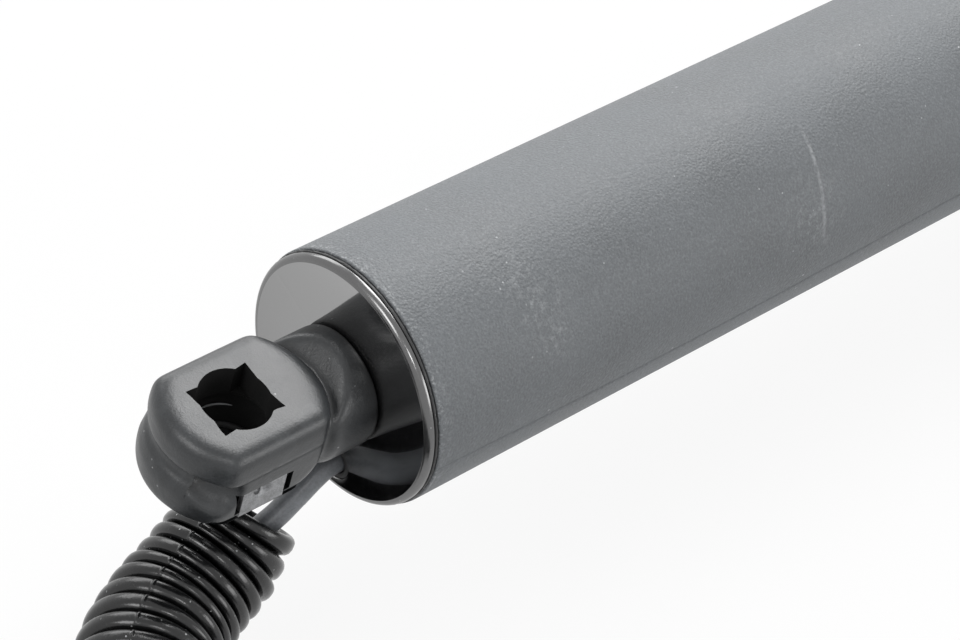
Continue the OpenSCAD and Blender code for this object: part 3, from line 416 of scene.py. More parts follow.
slate = (0.106, 0.114, 0.121)
plans = {
    "coated_steel": {"colour": slate, "patch": 16, "grain": 0.42, "grainHeight": 0.08, "rough": (0.5, 0.66),
                     "dust": (2.6, 0.3, 0.85), "special": tubeCoat, "shadeInHollows": (5, 0.6)},
    "dark_steel": {"colour": (0.05, 0.052, 0.055), "patch": 14, "grain": 0.35, "rough": (0.3, 0.42),
                   "lines": (40, 1, 1), "lineMix": 0.2,
                   "sockets": {"Coat Weight": 0.3, "Coat Roughness": 0.25}},
    "black_plastic": {"colour": (0.03, 0.031, 0.033), "patch": 7, "grain": 0.35, "grainHeight": 0.04,
                      "rough": (0.42, 0.55), "dust": (3, 0.15, 0.5)},
    "gloss_black": {"colour": (0.008, 0.008, 0.0085), "patch": 9, "grain": 1.2, "grainHeight": 0.002,
                    "rough": (0.05, 0.1), "dust": (2.2, 0.12, 0.6), "special": polish,
                    "sockets": {"IOR": 1.9, "Specular IOR Level": 0.8, "Coat Weight": 1.0, "Coat IOR": 1.9,
                                "Coat Roughness": 0.02}},
    "rim_black": {"colour": (0.014, 0.014, 0.015), "patch": 5, "grain": 1.2, "grainHeight": 0.008,
                  "rough": (0.13, 0.26), "dust": (1.6, 0.2, 0.8), "sockets": {"IOR": 2.15}},
    "seal_grey": {"colour": (0.014, 0.0145, 0.015), "grainHeight": 0.06, "rough": (0.4, 0.6),
                  "dust": (0.9, 0.16, 0.8)},
    "grey_nylon": {"colour": (0.021, 0.023, 0.025), "swing": 0.3, "patch": 6, "grainHeight": 0.03,
                   "rough": (0.32, 0.42), "dust": (3.0, 0.3, 0.8), "special": moulding, "shadeInHollows": (9, 0.97)},
    # Near-black and weakly reflecting: painted shade for the inside of the sockets
    "seat_painted_shade": {"colour": (0.01, 0.01, 0.01), "rough": (0.7, 0.85), "shadeInHollows": (9, 1.0),
                   "sockets": {"IOR": 1.25}},
    "spring_sheet": {"colour": (0.25, 0.254, 0.261), "metal": 0.5, "swing": 0.45, "patch": 1.6,
                     "grainHeight": 0.03, "rough": (0.36, 0.6), "lines": (1, 1, 14), "dust": (1.6, 0.1, 0.5),
                     "shadeInHollows": (2, 0.6)},
    "black_rubber": {"colour": (0.025, 0.025, 0.026), "patch": 5, "grainHeight": 0.05, "rough": (0.55, 0.72),
                     "dust": (2, 0.15, 0.5)},
    "board_green": {"colour": (0.02, 0.13, 0.055), "patch": 2, "grain": 0.2, "rough": (0.25, 0.4)},
    "motor_steel": {"colour": (0.5, 0.51, 0.52), "metal": 1, "patch": 6, "grain": 0.2, "rough": (0.26, 0.42),
                    "lines": (25, 1, 1)},
    "magnet_grey": {"colour": (0.07, 0.07, 0.075), "grain": 0.15, "grainHeight": 0.04, "rough": (0.5, 0.65)},
    "bronze": {"colour": (0.55, 0.38, 0.2), "metal": 1, "grain": 0.15, "grainHeight": 0.03,
               "rough": (0.35, 0.5)},
    "brake_lining": {"colour": (0.13, 0.11, 0.09), "patch": 1.2, "grain": 0.2, "grainHeight": 0.08,
                     "rough": (0.7, 0.85)},
    "cast_alloy": {"colour": (0.48, 0.48, 0.49), "metal": 1, "patch": 4, "grain": 0.4, "grainHeight": 0.05,
                   "rough": (0.42, 0.58)},
    "bright_steel": {"colour": (0.6, 0.61, 0.62), "metal": 1, "patch": 8, "grain": 0.2, "grainHeight": 0.005,
                     "rough": (0.14, 0.26), "lines": (60, 1, 1), "lineMix": 0.15, "lineHeight": 0.004},
    "spring_steel": {"colour": (0.16, 0.165, 0.17), "metal": 0.6, "patch": 4, "grain": 0.25,
                     "rough": (0.38, 0.5)},
    "cable_jacket": {"colour": (0.19, 0.2, 0.215), "grain": 0.4, "grainHeight": 0.03, "rough": (0.34, 0.48),
                     "dust": (2, 0.12, 0.6), "shadeInHollows": (6, 0.7)},
    "bellows_rubber": {"colour": (0.007, 0.0072, 0.0076), "swing": 0.3, "patch": 4, "grain": 0.5,
                       "rough": (0.15, 0.28), "dust": (1.4, 0.28, 0.95), "shadeInHollows": (4, 0.97)},
    "connector_black": {"colour": (0.028, 0.029, 0.031), "patch": 5, "grain": 0.25, "grainHeight": 0.03,
                        "rough": (0.36, 0.5), "dust": (2.5, 0.14, 0.5)},
    "lock_pale": {"colour": (0.58, 0.56, 0.5), "swing": 0.06, "patch": 4, "grain": 0.25,
                  "rough": (0.35, 0.48)},
    "copper_wire": {"colour": (0.62, 0.26, 0.11), "metal": 1, "rough": (0.2, 0.34), "lines": (1, 12, 12),
                    "lineHeight": 0.05},
    "copper_bar": {"colour": (0.72, 0.36, 0.18), "metal": 1, "grain": 0.2, "rough": (0.2, 0.32)},
    "pale_nylon": {"colour": (0.74, 0.7, 0.58), "swing": 0.05, "patch": 6, "grainHeight": 0.01,
                   "rough": (0.32, 0.45)},
}
finishes = {slot: madeFinish(slot, plan) for slot, plan in plans.items()}

# The inner parts keep their CAD meshes
nodeFinishes = {
    "dark_steel": ("ring_gear", "planet_carrier", "brake_disc", "spindle_stop"),
    "black_plastic": ("brush_plate", "gear_cover", "lower_spring_seat", "upper_spring_seat"),
    "board_green": ("sensor_board",),
    "motor_steel": ("motor_can", "guide_tube", "armature_core"),
    "magnet_grey": ("motor_magnets", "brushes"),
    "bronze": ("front_bush", "bearing_cage"),
    "brake_lining": ("brake_plate",),
    "cast_alloy": ("bearing_carrier",),
    "bright_steel": ("bearing_outer_race", "bearing_inner_race", "bearing_balls", "spindle", "sun_shaft",
                     "push_tube"),
    "spring_steel": ("compression_spring",),
    "copper_wire": ("armature_windings",),
    "copper_bar": ("commutator",),
    "pale_nylon": ("planet_gear_1", "planet_gear_2", "planet_gear_3", "spindle_nut", "slide_ring"),
}
for slot, names in nodeFinishes.items():
    for name in names:
        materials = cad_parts[name].data.materials
        if not materials:
            materials.append(finishes[slot])
        for index in range(len(materials)):
            materials[index] = finishes[slot]

print("stage: cable and conduit")
# The CAD model's own routes, but for the mouth of the conduit, which is set back a little
sharedRoute = [
    (-7.8, -5.5, -28.2), (-10.7, -6.7, -28.4), (-13.4, -8.2, -28.4), (-16.2, -10, -28.4),
    (-20.2, -13.4, -28.4), (-24.2, -18, -28.4), (-27.4, -23.6, -28.4), (-29.3, -30, -28.4),
    (-29.7, -37, -28.4), (-28.5, -44, -28.4), (-25.9, -50.6, -28.4), (-22.4, -57, -28.4),
    (-18.3, -63, -28.4), (-14, -69, -28.4), (-9.6, -75, -28.6),
]
cableRoute = [
    (28.6, -3.4, -14.2), (20.8, -3.4, -14.2), (17.5, -3.5, -15.1), (14, -3.8, -17.4), (10.6, -3.9, -20),
    (6.8, -3.7, -22.4), (2.6, -3.8, -24.8), (-2.4, -4.4, -26.9), *sharedRoute, (-5.2, -81.5, -30.6),
    (-2, -89, -34.6), (-2.6, -97, -37.5), (-8, -104, -37.5), (-17, -108, -37.5), (-28, -108.5, -37.5),
    (-39, -106, -37.5), (-49, -100.5, -37.5), (-56, -92, -37.5), (-60, -82, -35.8), (-61.5, -72, -33.2),
    (-62, -64.4, -32.4),
]
bellowsRoute = [
    (11.3, 0.7, -18.3), (9.4, -0.1, -20.2), (7.5, -0.8, -22), (5.5, -1.5, -23.6), (3.2, -2.1, -24.9),
    (0.8, -2.8, -26), (-2.1, -3.6, -26.9), (-5, -4.5, -27.7), *sharedRoute,
]


class Route:
    # A smooth line through points, read by the length along it
    def __init__(self, points, spans=24):
        pts = [Vector(p) for p in points]
        pts = [pts[0] * 2 - pts[1], *pts, pts[-1] * 2 - pts[-2]]
        self.line = []
        for i in range(1, len(pts) - 2):
            a, b, c, d = pts[i - 1:i + 3]
            for k in range(spans):
                t = k / spans
                self.line.append(0.5 * (2 * b + (c - a) * t + (2 * a - 5 * b + 4 * c - d) * t * t
                                        + (3 * b - a - 3 * c + d) * t ** 3))
        self.line.append(pts[-2])
        self.along = [0.0]
        for p, q in zip(self.line, self.line[1:]):
            self.along.append(self.along[-1] + (q - p).length)
        self.length = self.along[-1]

    def at(self, s):
        s = min(max(s, 0.0), self.length)
        low, high = 0, len(self.along) - 1
        while high - low > 1:
            mid = (low + high) // 2
            low, high = (mid, high) if self.along[mid] <= s else (low, mid)
        gap = self.along[high] - self.along[low]
        return self.line[low].lerp(self.line[high], (s - self.along[low]) / gap if gap else 0)

    def ring(self, s, radius, sides, look=1.2):
        # radius is a number or a function of the angle in degrees, and sides a count or a list of angles
        middle = self.at(s)
        ahead = (self.at(s + look) - self.at(s - look)).normalized()
        side = Vector((0, 0, 1)).cross(ahead).normalized()
        up = ahead.cross(side)
        out = []
        for a in (sides if isinstance(sides, list) else [360 * k / sides for k in range(sides)]):
            r = radius(a) if callable(radius) else radius
            out.append(middle + side * (r * math.cos(math.radians(a))) + up * (r * math.sin(math.radians(a))))
        return out


cableWay, bellowsWay = Route(cableRoute), Route(bellowsRoute)
cable = {
    "radius": 1.9, "sides": 32, "step": 0.7, "length": 0.2437,  # the length is in metres
    "lump": 0.035, "lumpSize": 2.5, "crease": 0.05, "creasedFrom": 8, "creasedTo": 30,
    "lowest": -39.38, "nearest": -110.4,
}


def makeCable():
    c = Values(**cable)
    rings = []
    count = int(cableWay.length / c.step)
    for i in range(count + 1):
        s = cableWay.length * i / count

        def radius(a, s=s):
            way = Vector((math.cos(math.radians(a)) * 2, math.sin(math.radians(a)) * 2, s))
            crease = 0
            if c.creasedFrom < s < c.creasedTo:
                crease = c.crease * max(0, noise.noise(Vector((way.x * 0.5, way.y * 0.5, s * 1.1))))
            return c.radius + lumps(way, c.lumpSize, c.lump) - crease

        # It lies on the floor, and no lump goes through it
        ring = cableWay.ring(s, radius, c.sides)
        rings.append([Vector((p.x, max(p.y, c.nearest), max(p.z, c.lowest))) for p in ring])
    return newPiece("cable_jacket", *skinned(rings), "housing", "cable_jacket", ("cable",), 50)


bellows = {
    "mouth": 4.5, "cuff": 2.945, "cuffRadius": 8.4, "rimRadius": 7.8, "ribs": 29, "pitch": 3.1, "depth": 1.9,
    "wall": 1.1, "crest": 11.0, "crestShares": ((0, 0.82), (1, 0.885), (14, 1.0), (40, 1.0)), "round": 2.6,
    "crestShake": 0.07, "pitchShake": 0.12, "sides": 112, "steps": 12, "end": 97.345, "hole": 2.02,
    "seamAngle": 104.0, "seamHeight": 0.16, "seamHalf": 1.5, "seamStep": 0.05,
    "seamSides": (-2.6, -1.6, -0.9, -0.35, 0.35, 0.9, 1.6, 2.6),
}


def crestRadius(i):
    # The first ribs are smaller
    points = bellows["crestShares"]
    for (a, low), (b, high) in zip(points, points[1:]):
        if i <= b:
            return bellows["crest"] * (low + (high - low) * (i - a) / (b - a))


def makeBellows():
    b = Values(**bellows)
    angles = [360 * k / b.sides for k in range(b.sides)]
    seam = [b.seamAngle + v for v in b.seamSides]
    angles = sorted([a for a in angles if abs(a - b.seamAngle) > 3.4] + seam)
    start = b.mouth + b.cuff
    shake = random.Random(5)
    crests = [(crestRadius(i) + shake.uniform(-b.crestShake, b.crestShake),
               shake.uniform(-b.pitchShake, b.pitchShake)) for i in range(b.ribs)]

    def seamed(r, share):
        # The mould's seam is a fine ridge, with its two halves a little out of line
        def radius(a):
            off = abs((a - b.seamAngle + 180) % 360 - 180)
            ridge = b.seamHeight * max(0, 1 - (off / b.seamHalf) ** 2) if off < b.seamHalf else 0
            step = b.seamStep * share if 0 < (a - b.seamAngle) % 360 < 180 else 0
            return r + ridge * (0.5 + 0.5 * share) - step
        return radius

    lip, cuff = b.rimRadius, b.cuffRadius
    rings = [bellowsWay.ring(b.mouth + s, seamed(r, 0.3), angles) for s, r in (
        (0.0, lip - 0.75), (0.0, lip - 0.3), (0.16, lip + 0.12), (0.5, cuff - 0.12), (0.95, cuff),
        (1.6, cuff + 0.05), (2.2, cuff - 0.1), (2.6, cuff - 0.5), (2.82, cuff - 1.0))]
    for i, (crest, shift) in enumerate(crests):
        valley = crest - b.depth
        for k in range(b.steps):
            t = k / b.steps
            lobe = (1 - abs(2 * t - 1) ** b.round) ** 0.5
            s = start + b.pitch * (i + t) + shift * lobe
            rings.append(bellowsWay.ring(s, seamed(valley + b.depth * lobe, lobe), angles))
    end, hole = b.end, b.hole
    for s, r in ((end, 8.4), (end + 0.15, 7.2), (end + 0.2, hole + 0.8), (end + 0.1, hole), (end - 1.8, hole),
                 (end - 2, hole + 1)):
        rings.append(bellowsWay.ring(s, r, angles))
    for i in range(b.ribs - 1, 0, -1):
        bore = crestRadius(i - 1) - b.depth - b.wall
        rings.append(bellowsWay.ring(start + b.pitch * i, bore, angles))
    rings.append(bellowsWay.ring(b.mouth + 1.2, cuff - b.wall - 1.2, angles))
    rings.append(bellowsWay.ring(b.mouth + 0.2, lip - 1.0, angles))
    return newPiece("bellows_conduit", *skinned(rings, True), "housing", "bellows_rubber", ("bellows",), 70)


grommet = {
    "profile": [(0.2, 2.15, 0), (0.2, 11, 0.5), (3.2, 11, 0.5), (3.6, 9, 0.4), (6.2, 9, 0.3), (6.6, 11, 0.4),
                (7.6, 10.6, 0.3), (9.2, 9.4, 0.8), (10.2, 6.4, 0.5), (11.2, 4.1, 0.5), (11.2, 2.15, 0)],
    "sides": 96, "ribDepth": 0.35, "ribsFrom": 6.6, "ribsTo": 10.4, "ribCore": 5,
    "ribEvery": 30, "ribWidth": 9,  # degrees
}


def makeGrommet():
    g = Values(**grommet)
    rings = []
    for s, r in rounded(g.profile, 4):
        ribbed = g.ribsFrom < s < g.ribsTo and r > g.ribCore

        def radius(a, r=r, ribbed=ribbed):
            return r - (g.ribDepth if ribbed and a % g.ribEvery < g.ribWidth else 0)

        rings.append(bellowsWay.ring(bellows["end"] + s, radius, g.sides))
    return newPiece("panel_grommet", *skinned(rings, True), "housing", "bellows_rubber",
                    ("body_grommet",), 40)


# Each form is a list of (place along the plug, how far its surface is inside the plug's widest)
connector = {
    "x": -62.0, "y": -64.3, "low": -39.1, "width": 16.0, "height": 13.0, "length": 24.0, "corner": 1.8,
    "nose": ((0.02, 2.2), (0.1, 1.6), (0.35, 1.2), (0.8, 1.0)),
    "ribs": 4, "firstRib": 1.6, "ribGap": 1.5,
    "rib": ((0.0, 1.0), (0.12, 0.5), (0.35, 0.35), (0.75, 0.35), (0.98, 0.5), (1.1, 1.0)),
    "shell": ((8.3, 1.0), (8.5, 0.5), (8.8, 0.3), (15.2, 0.3), (15.35, 0.1), (15.6, 0.0), (22.6, 0.0),
              (22.9, 0.08), (23.0, 0.3), (23.5, 0.3), (23.9, 0.45), (24.0, 0.75)),
    "room": 14.0, "roomCorner": 1.0,
    "roomWall": ((0.0, 1.2), (-0.15, 1.38), (-0.5, 1.4), (-13.6, 1.4), (-14.0, 1.9)),
}


def boxRing(y, halfX, halfZ, corner, middle, points=8):
    # A rounded rectangle in the XZ plane
    out = []
    for quarter, (sx, sz) in enumerate(((1, 1), (-1, 1), (-1, -1), (1, -1))):
        for k in range(points + 1):
            a = math.radians(90 * quarter + 90 * k / points)
            out.append((middle[0] + sx * (halfX - corner) + corner * math.cos(a), y,
                        middle[1] + sz * (halfZ - corner) + corner * math.sin(a)))
    return out


def makeConnector():
    c = Values(**connector)
    middle = (c.x, c.low + c.height / 2)
    near, far = c.y, c.y + c.length
    rings = [boxRing(near + 0.02, 2.6, 2.6, 2.5, middle)]

    def add(y, form, corner=c.corner):
        for along, inset in form:
            rings.append(boxRing(y + along, c.width / 2 - inset, c.height / 2 - inset, corner, middle))

    add(near, c.nose)
    for k in range(c.ribs):
        add(near + c.firstRib + k * c.ribGap, c.rib)
    add(near, c.shell)
    add(far, c.roomWall, c.roomCorner)
    rings.append(boxRing(far - c.room, 1.0, 1.0, 0.9, middle))
    return newPiece("plug_housing", *skinned(rings), "housing", "connector_black", ("connector",), 40)


def roundBar(low, high, edge):
    # A box with rounded edges between two corners
    shell = bmesh.new()
    bmesh.ops.create_cube(shell, size=1)
    for v in shell.verts:
        v.co = Vector([low[k] if v.co[k] < 0 else high[k] for k in range(3)])
    bmesh.ops.bevel(shell, geom=shell.edges[:], offset=edge, segments=3, profile=0.5, affect="EDGES")
    verts = [tuple(v.co) for v in shell.verts]
    faces = [tuple(v.index for v in f.verts) for f in shell.faces]
    shell.free()
    return verts, faces


lock = {"base": 1.15, "foot": 0.9, "hookFrom": 12, "hookTo": 13.6, "edge": 0.3, "grips": 4, "gripInset": 0.8,
        "gripFrom": 1, "gripTo": 1.6, "gripGap": 1.3, "gripTop": 1.5, "gripEdge": 0.18}


def makeLock():
    k = Values(**lock)
    (x0, y0, z0), (x1, y1, z1) = [[v / mm for v in corner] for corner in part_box("connector_lock")]
    bars = [roundBar((x0, y0, z0), (x1, y1, z0 + k.base), k.edge),
            roundBar((x0, y0 + k.hookFrom, z0 + k.foot), (x1, y0 + k.hookTo, z1), k.edge)]
    for i in range(k.grips):
        shift = k.gripGap * i
        bars.append(roundBar((x0 + k.gripInset, y0 + k.gripFrom + shift, z0 + k.foot),
                             (x1 - k.gripInset, y0 + k.gripTo + shift, z0 + k.gripTop), k.gripEdge))
    return newPiece("plug_lock", *joined(bars), "housing", "lock_pale", ("connector_lock",), 40)


pins = {"across": (-4.2, -1.4, 1.4, 4.2), "rows": (-1.7, 1.7), "halfWide": 0.32, "halfHigh": 0.4, "root": 0.8,
        "tip": 5.5, "edge": 0.12}


def makePins():
    c, k = Values(**connector), Values(**pins)
    x, z, far = c.x, c.low + c.height / 2, c.y + c.length
    bars = [roundBar((x + dx - k.halfWide, far - c.room - k.root, z + dz - k.halfHigh),
                     (x + dx + k.halfWide, far - k.tip, z + dz + k.halfHigh), k.edge)
            for dx in k.across for dz in k.rows]
    return newPiece("plug_pins", *joined(bars), "housing", "copper_bar", (), 40)


wireSeal = {
    "profile": ((-0.05, 1.95), (-0.05, 2.5), (0.15, 2.85), (0.8, 2.95), (1.2, 2.95), (1.9, 2.95),
                (1.9, 1.95)),
    "sides": 48,
}


def makeWireSeal():
    c = Values(**connector)
    x, z = c.x, c.low + c.height / 2
    angles = [2 * math.pi * k / wireSeal["sides"] for k in range(wireSeal["sides"])]
    rings = [[(x + r * math.cos(a), c.y + y, z + r * math.sin(a)) for a in angles]
             for y, r in wireSeal["profile"]]
    return newPiece("wire_seal", *skinned(rings, True), "housing", "seal_grey", (), 40)


cablePiece, bellowsPiece, grommetPiece, plugPiece = makeCable(), makeBellows(), makeGrommet(), makeConnector()
lockPiece, pinPiece, wireSealPiece = makeLock(), makePins(), makeWireSeal()

print("stage: housing tube and end caps")
tube = {"start": 22.66, "end": 384.66, "radius": 20.0, "bore": 18.2, "edge": 0.35, "chamfer": 0.2,
        "sides": 180, "step": 5.0, "seam": 0.11, "seamHalf": 0.3, "trough": -0.05, "troughTo": 1,
        "seamSides": [0, 0.22, 0.5, 0.9, 359.1, 359.5, 359.78], "seamRoom": 1.2, "seamZ": -0.2,
        "bow": 1.3, "bowStart": 22, "bowLength": 110, "wander": 0.25, "wanderSize": 9}


def makeTube():
    t = Values(**tube)
    offsets = [360 * k / t.sides for k in range(t.sides)]
    offsets = sorted([a for a in offsets if t.seamRoom < a < 360 - t.seamRoom] + t.seamSides)

    def softEnd(end, way):
        quarter = [k * math.pi / 8 for k in range(5)]
        return [(end + way * t.edge * (1 - math.cos(a)), t.radius - t.edge * (1 - math.sin(a)))
                for a in quarter]

    def ring(x, r, ridge):
        # The weld seam is a fine ridge between two shallow troughs, and it wanders a little
        bow = math.sin(max(0.0, min(1.0, (x - t.bowStart) / t.bowLength)) * math.pi)
        seamZ = t.seamZ - t.bow * bow + lumps((x, 0, 0), t.wanderSize, t.wander)
        start = math.pi - math.asin(seamZ / t.radius)
        out = []
        for off in offsets:
            near = min(off, 360 - off)
            rise = t.seam * (1 - near / t.seamHalf) if near < t.seamHalf else (
                t.trough if near < t.troughTo else 0)
            a = start + math.radians(off)
            rr = r + rise * ridge
            out.append((x, rr * math.cos(a), rr * math.sin(a)))
        return out

    straight = t.end - t.start - 2 * t.edge
    count = int(straight / t.step)
    stations = softEnd(t.start, 1)
    stations += [(t.start + t.edge + straight * k / count, t.radius) for k in range(1, count)]
    stations += reversed(softEnd(t.end, -1))
    rings = [ring(x, r, 1) for x, r in stations]
    for x, r in ((t.end, t.bore + t.chamfer), (t.end - t.chamfer, t.bore),
                 (t.start + t.chamfer, t.bore), (t.start, t.bore + t.chamfer)):
        rings.append(ring(x, r, 0))
    newPiece("outer_tube", *skinned(rings, True), "housing", "coated_steel", ("housing_tube",), 35)


lowerCap = {"face": 20.8, "rim": 19.65, "round": 1.0, "groove": 18.75, "grooveDepth": 0.6, "grooveEnd": 22.05,
            "bandEnd": 22.5, "plug": 18.15, "plugEnd": 43.66, "plugBore": 15.65, "web": 26.66, "spigot": 5.0,
            "spigotEnd": 11.8, "spigotEdge": 0.4, "outlet": (-3.4, -14.2), "outletRadius": 3.0}


def makeLowerCap():
    c = Values(**lowerCap)
    face, curve, rimEdge = c.face, c.round, c.rim - c.round
    rim = [(face, rimEdge - 0.12), (face - 0.02, rimEdge - 0.04)]
    for k in range(9):
        a = math.radians(90 * k / 8)
        rim.append((face + curve * (1 - math.cos(a)), c.rim - curve * (1 - math.sin(a))))
    seat = c.groove - c.grooveDepth
    profile = [(c.spigotEnd, 0), (c.spigotEnd, c.spigot - c.spigotEdge),
               (c.spigotEnd + c.spigotEdge, c.spigot), (face, c.spigot), (face, c.spigot + 2), *rim,
               (face + curve + 0.06, c.rim), (face + curve + 0.08, c.groove), (c.grooveEnd, c.groove),
               (c.grooveEnd, seat), (c.bandEnd, seat), (c.bandEnd, c.plug), (c.plugEnd, c.plug),
               (c.plugEnd, c.plugBore), (c.web, c.plugBore), (c.web, 0)]
    hole = [(face - 1, 0), (face - 1, c.outletRadius), (c.web + 3, c.outletRadius), (c.web + 3, 0)]
    piece = meshObject("gloss_cap", *turned(profile, 224))
    cutBy(piece, meshObject("hole", *turned(hole, 64, c.outlet)), "EXACT")
    dress(piece, "housing", "gloss_black", ("lower_end_cap",), 30)
    secondFinish(piece, "rim_black", lambda x, y, z: face - 0.1 < x < c.grooveEnd
                 and math.hypot(y, z) > rimEdge - 0.1)


# Profiles of (x, radius, corner radius)
capBand = {"profile": [(22.05, 18.25, 0), (22.05, 19.8, 0.14), (22.5, 19.8, 0.14), (22.5, 18.25, 0)],
           "sides": 256, "uneven": 0.13, "shrink": 0.02, "fine": 26}
cableOutlet = {"profile": [(20.8, 2.1, 0.25), (20.8, 2.95, 0.2), (28.16, 2.95, 0), (28.16, 2.1, 0.2)],
               "sides": 72}
dampers = {"length": 8, "bore": 15.05, "shoulder": 17.6, "crest": 18.15, "valley": 17.5, "waves": 4,
           "wave": 2, "crestAt": 0.6, "valleyAt": 1.6, "sides": 96}
mouthCollar = {
    "profile": [(374.66, 17.1, 0.2), (374.66, 18.15, 0.3), (384.66, 18.15, 0), (384.66, 19.8, 0.2),
                (386.4, 19.8, 0.15), (386.6, 19.55, 0.1), (387.0, 19.55, 0.1), (387.2, 19.8, 0.15),
                (389.66, 19.8, 1.0), (389.66, 18.2, 0.25), (387.2, 18.2, 0.1), (387.2, 17.1, 0.1)],
    "sides": 192,
}
wiper = {"foot": 17.12, "lip": 17.55, "bore": 17.1, "bevel": 0.7, "sides": 160}


def makeHousingRings():
    def uneven(x, a):
        # The squeezed edge of the seal
        spot = Vector((x * 4, math.cos(a) * capBand["fine"], math.sin(a) * capBand["fine"]))
        return capBand["uneven"] * noise.noise(spot) - capBand["shrink"]

    newPiece("cap_band", *turned(rounded(capBand["profile"], 3), capBand["sides"], wobble=uneven),
             "housing", "seal_grey", ("cap_seal_ring",), 50)
    o = Values(**cableOutlet)
    newPiece("cable_outlet", *turned(rounded(o.profile, 4), o.sides, lowerCap["outlet"]),
             "housing", "black_rubber", ("cable_gland",), 50)
    d = Values(**dampers)
    low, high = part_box("motor_dampers")
    rings = []
    for x in (low.x / mm, high.x / mm - d.length):
        profile = [(x, d.bore, 0.2), (x, d.shoulder, 0.3)]
        for k in range(d.waves):
            start = x + d.wave * k
            profile += [(start + d.crestAt, d.crest, 0.3), (start + d.valleyAt, d.valley, 0.3)]
        profile += [(x + d.length, d.bore, 0.2)]
        rings.append(turned(rounded(profile, 3), d.sides))
    newPiece("damper_rings", *joined(rings), "housing", "black_rubber", ("motor_dampers",), 60)
    newPiece("mouth_collar", *turned(rounded(mouthCollar["profile"], 5), mouthCollar["sides"]),
             "housing", "black_plastic", ("mouth_ring",), 40)
    w = Values(**wiper)
    low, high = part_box("wiper_seal")
    start, end, outer = low.x / mm, high.x / mm, high.z / mm
    newPiece("wiper_lip", *turned(rounded([
        (start, w.foot, 0.1), (start, outer, 0.1), (end - w.bevel, outer, 0.3), (end, w.lip, 0.12),
        (end, w.bore, 0.05)], 4), w.sides), "housing", "black_rubber", ("wiper_seal",), 50)


cover = {"start": 151.76, "end": 503.34, "radius": 17.0, "bore": 16.0, "sides": 180}
upperCap = {"rim": 18.0, "face": 505.2, "round": 1.0, "plug": 15.95, "spigot": 5.0, "ball": 526.0,
            "sides": 200}


def makeRod():
    c, u = Values(**cover), Values(**upperCap)
    newPiece("cover_sleeve", *turned(rounded([
        (c.start, c.bore, 0.2), (c.start, c.radius, 0.3), (c.end, c.radius, 0.2),
        (c.end, c.bore, 0)], 4), c.sides), "rod", "dark_steel", ("cover_tube",), 35)
    low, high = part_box("upper_end_cap")
    start, end = low.x / mm, high.x / mm
    topCap = newPiece("upper_gloss_cap", *turned(rounded([
        (start, 0, 0), (start, u.plug, 0.3), (c.end, u.plug, 0), (c.end, u.rim, 0.15),
        (u.face, u.rim, u.round), (u.face, u.spigot, 0.0), (end, u.spigot, 0.4), (end, 0, 0)], 8),
        u.sides), "rod", "gloss_black", ("upper_end_cap",), 30)
    topCap.data.materials[0] = finishes["rim_black"]


makeTube()
makeLowerCap()
makeHousingRings()
makeRod()

print("stage: sockets and clips")
socket = {
    "voxel": 0.25, "smooth": 80, "head": 8.68, "cup": 5.6, "side": 9.5, "roundX": 0.92,
    "plugs": (11.7, 7.6, 7.4),  # radii of what fills its openings: around, above and below
    "parting": 3.3, "partingTo": 11, "step": 0.26, "stepWide": 1.7, "flash": 0.1,
    "groove": 0.34, "grooveWide": 0.32, "grooveUnder": 0.4,
    "ripple": 0.02, "rippleSize": 3.5,
    "seat": 6.6, "seatWall": 4.0, "mouth": 7.2,
    "window": 5.7, "windowDepth": 3.6, "windowTop": 12, "point": 7.0, "pointWay": (0.76, 0.65),
    "waist": 0.94, "hollow": 1.3, "uneven": 0.16, "unevenFine": 1.6,
    "scoop": (-7.8, 1.6), "scoopSize": (2.9, 3.2), "scoopDepth": 2.4,
}
clip = {"width": 7.8, "slot": 1.1, "height": 4.5, "legOut": 8.2, "legIn": 5.1, "legReach": 5.2,
        "legWay": 1.05, "voxel": 0.1, "smooth": 3, "pit": (-0.5, -0.95), "pitSize": (1.3, 0.9),
        "pitDepth": 0.75, "pitRim": 0.05, "barBack": 1.3, "ripple": 0.02, "rippleSize": 1.4}


def block(low, high):
    # A plain box, used only to cut
    verts = [(x, y, z) for x in (low[0], high[0]) for y in (low[1], high[1]) for z in (low[2], high[2])]
    return verts, [(0, 1, 3, 2), (4, 6, 7, 5), (0, 4, 5, 1), (2, 3, 7, 6), (0, 2, 6, 4), (1, 5, 7, 3)]


def prism(outline, low, high):
    count = len(outline)
    verts = [(x, y, z) for z in (low, high) for x, y in outline]
    faces = [(k, (k + 1) % count, count + (k + 1) % count, count + k) for k in range(count)]
    return verts, faces + [tuple(reversed(range(count))), tuple(range(count, 2 * count))]


def circle(radius, count=96, flat=99.0):
    # Points round a circle, with its side at -Y cut flat
    angles = [2 * math.pi * k / count for k in range(count)]
    return [(radius * math.cos(a), max(-flat, radius * math.sin(a))) for a in angles]


def upright(profile, sides=128):
    # A closed profile of (r, z) turned about Z
    verts, faces = turned([(z, r) for r, z in profile], sides)
    return [(y, -z, x) for x, y, z in verts], faces


def toolPiece(parts, centre, turn):
    # A mesh to fill or cut with, set at one end of the strut or turned round for the other
    verts, faces = joined(parts)
    return meshObject("tool", [(centre + turn * x, turn * y, z) for x, y, z in verts], faces)


def recast(name, node, plan, fill=None):
    # A copy of a CAD part, filled, remeshed and smoothed, so that its edges are round
    piece = placed(name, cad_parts[node].data.copy())
    if fill:
        both = bmesh.new()
        both.from_mesh(piece.data)
        both.from_mesh(fill.data)
        both.to_mesh(piece.data)
        both.free()
        bpy.data.objects.remove(fill)
    piece.modifiers.new("weld", "WELD").merge_threshold = tiny
    remesh = piece.modifiers.new("remesh", "REMESH")
    remesh.mode, remesh.voxel_size, remesh.adaptivity = "VOXEL", plan.voxel * mm, 0
    relax = piece.modifiers.new("relax", "SMOOTH")
    relax.factor, relax.iterations = 0.5, plan.smooth
    baked(piece)
    return piece


